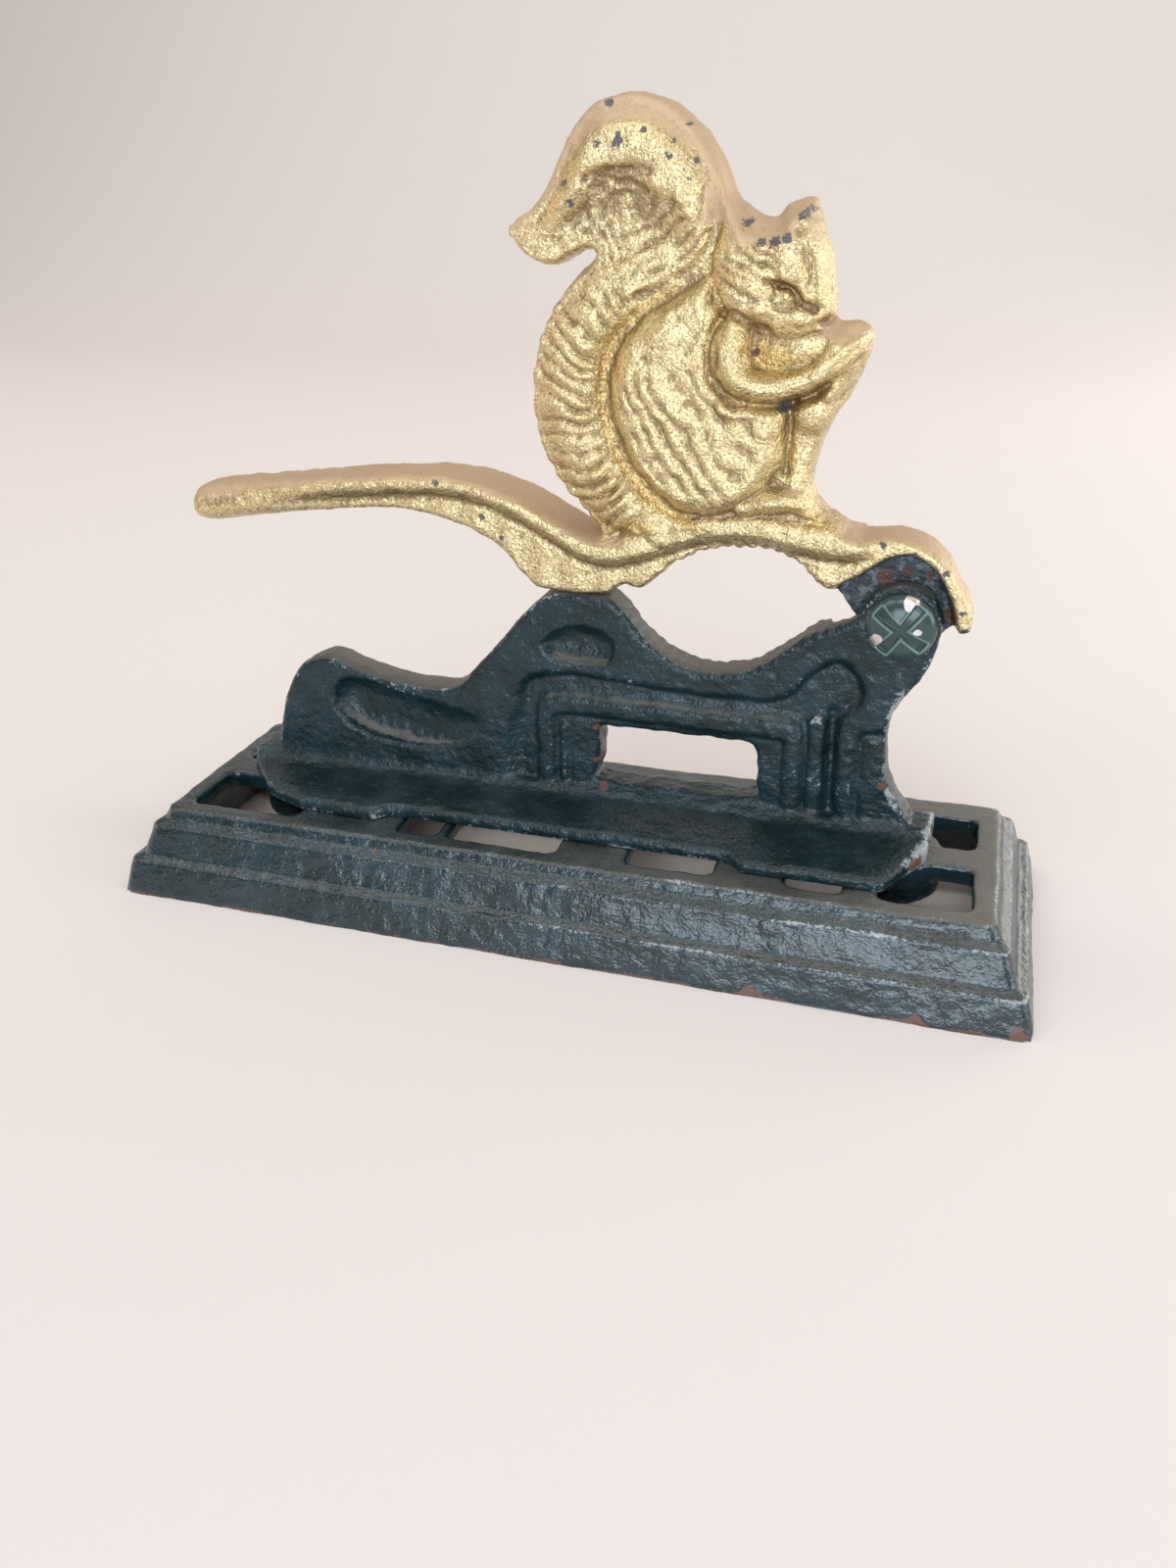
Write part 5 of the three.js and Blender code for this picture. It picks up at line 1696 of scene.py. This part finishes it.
    def relief(self, x: Array, z: Array) -> Array:
        """Work out how far the front face is sunk.

        Args:
            x: X of each corner.
            z: Z of each corner.

        Returns:
            Depths in millimetres.
        """
        zone = within(self.recess, x, z, 6)
        wall = 1.3 + 3.2 * rise(-9.0, -13.0, x) * rise(49.0, 44.0, z)
        sunk = self.recess_depth * rise(0.0, 1.0, zone / wall) + 0.25 * bump(zone - wall - 0.2, 0.9)
        away, _, side, corner = Path(self.rib).measure(x, z)
        upright = np.clip(rise(2.6, 3.4, corner) * rise(10.6, 9.8, corner), 0, 1)
        bevel = self.rib_bevel * (1 + upright)
        outer = 1 - rise(1.3, 1.3 + bevel * 0.72, away)
        inner = 1 - rise(1.45, 2.0, away)
        rib = np.where(side > 0, outer, inner)
        border = (side < 0) * rise(1.4, 2.1, away)
        level = between(sunk, np.minimum(sunk, 0.95), border)
        level = level + 0.35 * bump(away - 2.2, 0.6) * (side < 0) * (zone > 0)
        level = between(level, np.minimum(level, 0.1), rib)
        ridge = Path(self.inner_ridge).measure(x, z, 3)[0]
        level = level - 0.55 * bump(ridge, 0.9) + 0.35 * bump(ridge - 1.3, 0.8)
        post = Path(self.post).measure(x, z, 4)[0]
        bar = 1 - rise(1.2, 2.0, post)
        level = between(level, np.minimum(level, 0.55), bar)
        level = level + 0.8 * seam(self.slot, x, z, 1.7, 4)
        hook, _, turn, _ = Path(self.hook).measure(x, z, 8)
        panel = (turn > 0) * rise(0.3, 1.0, hook) * rise(60.4, 61.2, x) * rise(44.2, 43.4, z)
        level = level + 1.3 * bump(hook, 1.25) + 0.5 * panel
        return np.maximum(level, 0) + self.scoop(x, z) + self.dimple(x, z)

    def scoop(self, x: Array, z: Array) -> Array:
        """Work out the finger scoop, deep and steep on the left and run out on the right.

        Args:
            x: X of each corner.
            z: Z of each corner.

        Returns:
            Depths in millimetres.
        """
        zone = within(self.scoop_zone, x, z, 6)
        deep = looked_up(x, self.scoop_depths) * round_up(zone / looked_up(x, self.scoop_walls)) * 0.94
        ripple = 0.07 * np.sin(x * 2.1 + 0.35 * z) * rise(1, 3, zone) * rise(40, 36, z)
        return np.where(zone > 0, deep + ripple, 0)

    def dimple(self, x: Array, z: Array) -> Array:
        """Work out the oval dimple below the peak, flat along its lower edge."""
        zone = within(self.dimple_zone, x, z, 6)
        return np.where(zone > 0, self.dimple_depth * round_up(zone / 4.0), 0)

    def finish(self, obj: bpy.types.Object) -> None:
        """Give the casting its rough skin and keep what the paint reads.

        Args:
            obj: The casting.
        """
        skin = Skin(obj)
        near = bump(skin.at[:, 1] + 1.0, 3.0) * bump(skin.at[:, 2] - 23.8, 3.0)
        skin.relax(8, near)
        skin.relax(1, np.full(len(skin.at), 0.6))
        skin.store()
        x, y, z = skin.at.T
        lumps = 0.24 * grain(x, z, 4.0, 21, y) + 0.16 * grain(x, z, 1.6, 22, y)
        lumps *= rise(18.65, 19.4, z)
        skin.swell(lumps)
        skin.at[:, 2] = np.maximum(skin.at[:, 2], self.base_top)
        skin.store()
        upward = np.clip(skin.averaged(skin.normals()[:, 2], 3), 0, 1)
        crown = rise(0.45, 0.8, upward) * rise(38, 42, z)
        # The back of the top faces is painted pale: a painted reflection of a pale wall.
        skin.mark("pale", crown * rise(0.4, 3.0, y + 1.2 * grain(x, z, 5.0, 41)))
        ledge = rise(0.5, 0.9, upward) * (z < 30)
        # The scoop's upward faces are painted pale: a painted highlight.
        painted_scoop_highlight = rise(0.25, 0.6, upward) * (within(self.scoop_zone, x, z, 6) > 0.5) * (y < 4)
        skin.mark("dusty_and_lit", np.clip(0.7 * crown + 0.2 * ledge + 0.6 * painted_scoop_highlight, 0, 1))
        # Proud edges take the pale glint colour: painted glints with some wear; the toe and the neck are
        # worn.
        proud = np.clip(-skin.averaged(skin.hollows(5), 2) * 7, 0, 1)
        waist = 0.35 * bump(x - 67.0, 2.6) * (z > 28) * (z < 60)
        skin.mark("worn", np.clip(proud * 0.75 + self.bare_toe.share(x, z) + waist, 0, 1.2))
        skin.mark("rusty", np.clip(spotted(self.rust_spots, x, z), 0, 1))


@dataclass
class Base:
    """The tiered hollow base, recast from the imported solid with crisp, wavy tiers."""

    voxel: float = 0.72
    height: float = 18.6
    half_length: float = 100.0
    half_width: float = 34.0
    corner: float = 2.4
    tiers: Line = (
        (0.0, 0.0), (2.07, 7.63), (4.14, 8.37), (6.2, 14.88), (8.18, 16.18), (9.4, 18.6))
    snap: float = 0.5
    rust_spots: tuple[Spot, ...] = (
        Spot(-41.0, 3.7, 0.9), Spot(-38.0, 16.0, 0.8), Spot(46.2, 0.8, 2.6), Spot(78.3, 0.8, 2.2),
        Spot(96.5, 1.4, 3.0))
    dust_and_light_along: Line = ((-100.0, 0.26), (-20.0, 0.36), (60.0, 0.55), (100.0, 0.85))

    def build(self, node: bpy.types.Object, paint: bpy.types.Material) -> None:
        """Recast, shape and paint the base.

        Args:
            node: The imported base.
            paint: The green paint.
        """
        bm = bmesh.new()
        bm.from_mesh(node.data)
        bmesh.ops.remove_doubles(bm, verts=bm.verts[:], dist=1e-6)
        bmesh.ops.recalc_face_normals(bm, faces=bm.faces[:])
        obj = store("base_casting", bm)
        recast(obj, self.voxel)
        skin = Skin(obj)
        skin.relax(1, np.full(len(skin.at), 0.4))
        self.sharpen(skin)
        skin.store()
        x, y, z = skin.at.T
        lumps = 0.3 * grain(x, y, 12.0, 31, z) + 0.2 * grain(x, y, 2.6, 32, z)
        skin.swell(lumps)
        most = (self.half_length, self.half_width, self.height)
        skin.at = np.clip(skin.at, (-self.half_length, -self.half_width, 0), most)
        skin.store()
        self.mark(skin)
        dress(obj, paint, Slot.CAST, Body.STAND, "tiered_base")

    def inset(self, x: Array, y: Array) -> tuple[Array, Array, Array]:
        """Measure how far corners stand in from the base's plan.

        Args:
            x: X of each corner.
            y: Y of each corner.

        Returns:
            The inset, and the move in X and Y that makes it smaller by one millimetre.
        """
        along = np.abs(x) - self.half_length + self.corner
        across = np.abs(y) - self.half_width + self.corner
        apart = np.clip(along - across, -self.corner, self.corner)
        inset = (np.sqrt(2 * self.corner ** 2 - apart ** 2) - along - across) / 2
        flat = np.abs(along - across) > self.corner
        inset = np.where(flat, self.corner - np.maximum(along, across), inset)
        one = np.where(flat, along > across, (along + inset) / self.corner)
        other = np.where(flat, along <= across, (across + inset) / self.corner)
        return inset, np.sign(x) * one * (one + other), np.sign(y) * other * (one + other)

    def wave(self, x: Array, y: Array) -> Array:
        """Let the tiers' edges rise and fall a little along the base."""
        return 0.3 * grain(x, y, 16.0, 35)

    def sharpen(self, skin: Skin) -> None:
        """Draw the outer corners onto the tiers' profile, with crisp edges.

        Args:
            skin: The casting's corners.
        """
        x, y, z = skin.at.T
        inset, out_x, out_y = self.inset(x, y)
        wave = self.wave(x, y)
        profile = Path(self.tiers, steps=1)
        distance, length, _, _ = profile.measure(inset, z - wave)
        for edge in profile.starts[1:-1]:
            away = length - edge
            length = np.where(np.abs(away) < self.snap, edge + away * np.abs(away) / self.snap, length)
        near = (distance < 0.9) & (z > 0.4) & (z < self.height - 0.3)
        step = inset - np.interp(length, profile.starts, profile.line[:, 0])
        raised = np.interp(length, profile.starts, profile.line[:, 1]) + wave
        skin.at[:, 0] = np.where(near, x + out_x * step, x)
        skin.at[:, 1] = np.where(near, y + out_y * step, y)
        skin.at[:, 2] = np.where(near, raised, z)

    def mark(self, skin: Skin) -> None:
        """Keep what the paint reads: dirt on the tops, heavier towards the right, where the rise is painted
        light, worn edges with painted glints on the tiers' lips, and rust.

        Args:
            skin: The casting's corners.
        """
        x, y, z = skin.at.T
        hollow = skin.averaged(skin.hollows(3), 2)
        upward = np.clip(skin.averaged(skin.normals()[:, 2], 1), 0, 1)
        # Tops greyed with dirt, more towards the right: the rise to the right is painted light.
        share = looked_up(x, self.dust_and_light_along) * (0.45 + 0.55 * rise(17, 18, z))
        skin.mark("dusty_and_lit", share * rise(0.5, 0.85, upward))
        skin.mark("pale", np.zeros_like(x))
        inset, _, _ = self.inset(x, y)
        wave = self.wave(x, y)
        # Pale lips along the tiers' edges, stronger towards the right: painted glints.
        lip = np.zeros_like(x)
        for across, up in self.tiers[1:]:
            lip = np.maximum(lip, bump(np.hypot(inset - across, z - wave - up), 1.0))
        lip *= 0.4 + 0.6 * rise(-50, 40, x)
        proud = np.clip(-hollow * 4, 0, 1)
        skin.mark("worn", np.clip(proud * 0.35 + 0.7 * lip * (hollow < 0.02), 0, 1))
        foot = 0.62 * rise(1.5, 0.2, z) * rise(0.2, 0.55, grain(x, y, 8.0, 33) + 0.45)
        skin.mark("rusty", np.clip(foot + spotted(self.rust_spots, x, z) * (y < 0), 0, 1))


@dataclass
class Fasteners:
    """The pivot screw with its washer and nut, and the two screws under the base."""

    pivot: Pair = (66.7, 67.9)
    head_back: float = -1.3
    head_height: float = 3.6
    head_radius: float = 6.7
    shank: float = 3.0
    cross_turn: float = math.radians(53.5)
    cross_half: float = 0.62
    cross_reach: float = 5.5
    cross_depth: float = 1.0
    lip_height: float = 0.14
    dome_steps: int = 32
    head_sides: int = 144
    head_chips: tuple[tuple[float, float, float, float], ...] = (
        (68.3, 73.4, 2.1, 1.0), (62.3, 65.3, 2.2, 0.95), (69.9, 68.0, 1.3, 0.8), (64.4, 68.6, 0.9, 0.7))
    washer_bore: float = 3.2
    washer_front: float = 7.7
    washer_thick: float = 1.6
    washer_radius: float = 6.25
    washer_soft: float = 0.25
    washer_sides: int = 64
    nut_height: float = 5.0
    nut_across: float = 10.0
    nut_bore: float = 3.15
    gap: float = 0.3
    overhang: float = 1.5
    base_screws: tuple[tuple[str, float], ...] = (("handle_end", -69.5), ("pivot_end", 69.5))
    screw_y: float = 2.2
    screw_profile: Line = (
        (0.0, 5.6), (1.2, 5.6), (1.5, 4.4), (2.9, 4.4), (4.3, 5.4), (4.75, 6.4), (4.75, 7.8), (2.5, 7.8),
        (2.5, 23.5), (0.0, 23.5))
    screw_ring: tuple[float, ...] = (2.75, 6.0, 8.1, 9.3, 0.2)
    screw_sides: int = 40

    def build_pivot(self, head: bpy.types.Material, zinc: bpy.types.Material) -> None:
        """Build the pivot screw, its washer and its nut.

        Args:
            head: The screw's finish.
            zinc: The finish of the washer and the nut.
        """
        self.screw(head)
        back = self.washer_front + self.washer_thick
        ring = self.ring(
            self.washer_bore, self.washer_radius, self.washer_front, back, self.washer_soft)
        washer = store("pivot_washer_piece", turned(ring, self.pivot, self.washer_sides))
        dress(washer, zinc, Slot.ZINC, Body.STAND, "pivot_washer")
        self.nut(zinc, back + self.gap)

    def ring(self, bore: float, radius: float, low: float, high: float, soft: float) -> list[Pair]:
        """Profile of a flat ring with softened outer edges."""
        return [
            (bore, low), (radius - soft, low), (radius, low + soft), (radius, high - soft),
            (radius - soft, high), (bore, high), (bore, low)]

    def screw(self, paint: bpy.types.Material) -> None:
        """Build the pivot screw with its domed head and cross slot.

        Args:
            paint: The screw's finish.
        """
        front = self.head_back - self.head_height
        dome = []
        for step in range(self.dome_steps + 1):
            angle = math.pi / 2 * step / self.dome_steps
            drop = self.head_height * 0.8 * (1 - math.cos(angle))
            dome.append((max(self.head_radius * math.sin(angle), 0.0), front + drop))
        rim = [(self.head_radius, self.head_back - 0.35), (self.head_radius - 0.3, self.head_back)]
        end = self.washer_front + self.washer_thick + self.gap + self.nut_height + self.overhang
        shank = [(self.shank, self.head_back), (self.shank, end - 0.5), (self.shank - 0.5, end), (0.0, end)]
        obj = store("pivot_screw_piece", turned(dome + rim + shank, self.pivot, self.head_sides))
        skin = Skin(obj)
        x, y, z = skin.at.T
        c, s = math.cos(self.cross_turn), math.sin(self.cross_turn)
        one = c * (x - self.pivot[0]) + s * (z - self.pivot[1])
        other = c * (z - self.pivot[1]) - s * (x - self.pivot[0])
        outer = y < self.head_back - 0.6
        slot = np.zeros_like(x)
        lip = np.zeros_like(x)
        for along, across in ((np.abs(one), np.abs(other)), (np.abs(other), np.abs(one))):
            half = self.cross_half + 0.08 * along
            past = along - self.cross_reach
            slot = np.maximum(slot, rise(half + 0.25, half - 0.15, across) * rise(0.25, -0.25, past))
            lip = np.maximum(lip, bump(across - half - 0.3, 0.42) * rise(0.5, 0.1, past))
            lip = np.maximum(lip, bump(past - 0.35, 0.4) * (across < half + 0.2))
        slot = slot * outer
        lip = lip * outer * (1 - slot)
        skin.at[:, 1] = y + self.cross_depth * slot - self.lip_height * lip
        skin.store()
        worn = np.zeros_like(x)
        for chip_x, chip_z, reach, strength in self.head_chips:
            worn = np.maximum(worn, strength * bump(np.hypot(x - chip_x, z - chip_z), reach) ** 0.5)
        worn = np.maximum(worn * outer * (1 - slot), 0.7 * (y > self.head_back - 0.1))
        skin.mark("worn", worn)
        skin.mark("lip", lip)
        dress(obj, paint, Slot.CAST, Body.STAND, "pivot_screw")

    def nut(self, zinc: bpy.types.Material, low: float) -> None:
        """Build the hexagon nut.

        Args:
            zinc: The nut's finish.
            low: Where the nut starts along Y.
        """
        bm = bmesh.new()
        corner = self.nut_across / 2 / math.cos(math.pi / 6)
        place = Matrix.Translation(Vector((self.pivot[0], low + self.nut_height / 2, self.pivot[1])) * MM)
        place = place @ Matrix.Rotation(math.pi / 2, 4, "X") @ Matrix.Rotation(math.pi / 6, 4, "Z")
        bmesh.ops.create_cone(
            bm, cap_ends=True, segments=6, radius1=corner * MM, radius2=corner * MM,
            depth=self.nut_height * MM, matrix=place)
        caps = [face for face in bm.faces if len(face.verts) == 6]
        bmesh.ops.inset_region(bm, faces=caps, thickness=(corner * 0.87 - self.nut_bore) * MM, depth=0)
        bmesh.ops.bevel(
            bm, geom=bm.edges[:], offset=0.3 * MM, segments=2, profile=0.5, affect="EDGES", material=-1)
        bmesh.ops.recalc_face_normals(bm, faces=bm.faces[:])
        obj = store("pivot_nut_piece", bm, smooth=False)
        dress(obj, zinc, Slot.ZINC, Body.STAND, "pivot_nut")

    def build_base_screws(self, zinc: bpy.types.Material) -> None:
        """Build the two screws and washers under the base.

        Args:
            zinc: Their finish.
        """
        profiles = {"screw": self.screw_profile, "washer": self.ring(*self.screw_ring)}
        for end, x in self.base_screws:
            for kind, profile in profiles.items():
                piece = turned(profile, (x, self.screw_y), self.screw_sides, along_y=False)
                obj = store(f"base_{kind}_{end}_piece", piece)
                dress(obj, zinc, Slot.ZINC, Body.STAND, f"base_{kind}_{end}")


# Studio

@dataclass(frozen=True)
class Lamp:
    """A soft lamp, with its place, its size and the point that it faces in metres."""

    name: str
    place: Triple
    size: Pair
    watts: float
    colour: Triple
    towards: Triple = (0.0, 0.0, 0.07)

    def hang(self) -> None:
        """Hang the lamp in the scene."""
        data = bpy.data.lights.new(self.name, "AREA")
        data.shape = "RECTANGLE"
        data.size, data.size_y = self.size
        data.energy = self.watts
        data.color = self.colour
        obj = bpy.data.objects.new(self.name, data)
        obj.location = self.place
        way = Vector(self.towards) - Vector(self.place)
        obj.rotation_euler = way.to_track_quat("-Z", "Y").to_euler()
        bpy.context.scene.collection.objects.link(obj)


@dataclass
class Studio:
    """Pale floor, soft lights and the camera at the photograph's angle."""

    azimuth: float = 18.04
    elevation: float = 27.01
    roll: float = -1.263
    place: Triple = (77.54, -229.97, 148.14)
    lens: float = 28.04
    floor_colour: Triple = (0.76, 0.72, 0.70)
    floor_half: float = 5.0
    floor_front: float = -4.0
    wall: float = 1.7
    wall_top: float = 3.5
    bend: float = 0.9
    front_sky: Triple = (0.16, 0.145, 0.135)
    back_sky: Triple = (0.60, 0.55, 0.51)
    sky_way: Triple = (0.15, 0.55, 0.82)
    lamps: tuple[Lamp, ...] = (
        Lamp("window", (0.2, -1.12, 0.26), (1.0, 0.44), 8.8, (0.78, 0.89, 1.0)),
        Lamp("side", (1.05, -0.12, 0.24), (0.6, 0.44), 3.6, (0.95, 0.97, 1.0)),
        Lamp("rim", (0.68, 0.72, 0.27), (0.55, 0.5), 2.4, (1.0, 0.98, 0.95)),
        Lamp("above", (0.05, -0.7, 0.95), (0.5, 0.4), 2.2, (0.97, 0.97, 1.0)),
        Lamp("upper", (-0.5, -0.6, 0.84), (0.42, 0.36), 1.4, (0.85, 0.93, 1.0)),
        Lamp("left", (-1.1, -0.15, 0.3), (0.7, 0.5), 1.9, (1.0, 0.80, 0.64)),
        Lamp("backdrop", (0.0, 0.15, 1.5), (2.4, 0.5), 17.0, (1.0, 0.97, 0.94), (0.0, 1.7, 0.55)))

    def camera(self) -> None:
        """Set up the camera."""
        turn, lift, lean = (math.radians(v) for v in (self.azimuth, self.elevation, self.roll))
        back = Vector((
            math.sin(turn) * math.cos(lift), -math.cos(turn) * math.cos(lift), math.sin(lift)))
        right = (-back).cross(Vector((0, 0, 1))).normalized()
        up = right.cross(-back)
        side = math.cos(lean) * right + math.sin(lean) * up
        top = -math.sin(lean) * right + math.cos(lean) * up
        data = bpy.data.cameras.new("camera")
        data.lens = self.lens
        data.sensor_width = 36
        data.sensor_fit = "AUTO"
        data.clip_start = 0.01
        obj = bpy.data.objects.new("camera", data)
        turned_to = Matrix((side, top, back)).transposed().to_4x4()
        obj.matrix_world = Matrix.Translation(Vector(self.place) * MM) @ turned_to
        bpy.context.scene.collection.objects.link(obj)
        bpy.context.scene.camera = obj

    def floor(self) -> None:
        """Lay the floor and run it up into a pale backdrop behind the press."""
        bm = bmesh.new()
        turn = np.linspace(0, math.pi / 2, 25)
        bend = [(self.wall - self.bend * (1 - math.sin(a)), self.bend * (1 - math.cos(a))) for a in turn]
        profile = [(self.floor_front, 0.0), (-1.0, 0.0), *bend, (self.wall, self.wall_top)]
        left = [bm.verts.new((-self.floor_half, y, z)) for y, z in profile]
        edges = [bm.edges.new(pair) for pair in zip(left, left[1:])]
        grown = bmesh.ops.extrude_edge_only(bm, edges=edges)
        moved = [item for item in grown["geom"] if isinstance(item, bmesh.types.BMVert)]
        bmesh.ops.translate(bm, vec=Vector((2 * self.floor_half, 0, 0)), verts=moved)
        bmesh.ops.recalc_face_normals(bm, faces=bm.faces[:])
        obj = store("floor", bm)
        paint = Finish("floor")
        paint.wear(Base_Color=self.floor_colour, Roughness=0.9)
        obj.data.materials.append(paint.material)

    def light(self) -> None:
        """Light the scene with a world that is paler behind the press, and hang the lamps."""
        world = bpy.data.worlds.new("studio")
        world.use_nodes = True
        sky = Tree(world.node_tree)
        way = sky.node("ShaderNodeTexCoord", {}, {}, "Generated")
        lean = sky.node(
            "ShaderNodeVectorMath", {"operation": "DOT_PRODUCT"}, {0: way, 1: self.sky_way}, "Value")
        share = sky.node("ShaderNodeMapRange", {}, {"Value": lean, "From Min": -0.45, "From Max": 0.75})
        colour = sky.node(
            "ShaderNodeMix", {"data_type": "RGBA"}, {0: share, 6: self.front_sky, 7: self.back_sky}, 2)
        sky.join(world.node_tree.nodes["Background"].inputs["Color"], colour)
        bpy.context.scene.world = world
        for lamp in self.lamps:
            lamp.hang()


def main() -> None:
    """Build the press piece by piece and report each."""
    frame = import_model()
    scene = bpy.context.scene
    scene.view_settings.view_transform = "Standard"
    studio = Studio()
    studio.camera()
    studio.floor()
    studio.light()
    gold = GoldPaint().make()
    green = CastPaint().make("cast_paint")
    zinc = ZincPlate().make()
    hammered = CastPaint(grain=1.3, depth=0.26, sand_depth=0.06, rough=0.2, shine=0.8).make("base_paint")
    Base().build(frame["nodes"]["tiered_base"], hammered)
    Frame().build(green)
    Lever().build(gold)
    fasteners = Fasteners()
    fasteners.build_pivot(HeadPaint().make(), zinc)
    fasteners.build_base_screws(zinc)


if __name__ == "__main__":
    logging.basicConfig(level=logging.INFO, format="%(name)s %(message)s")
    main()
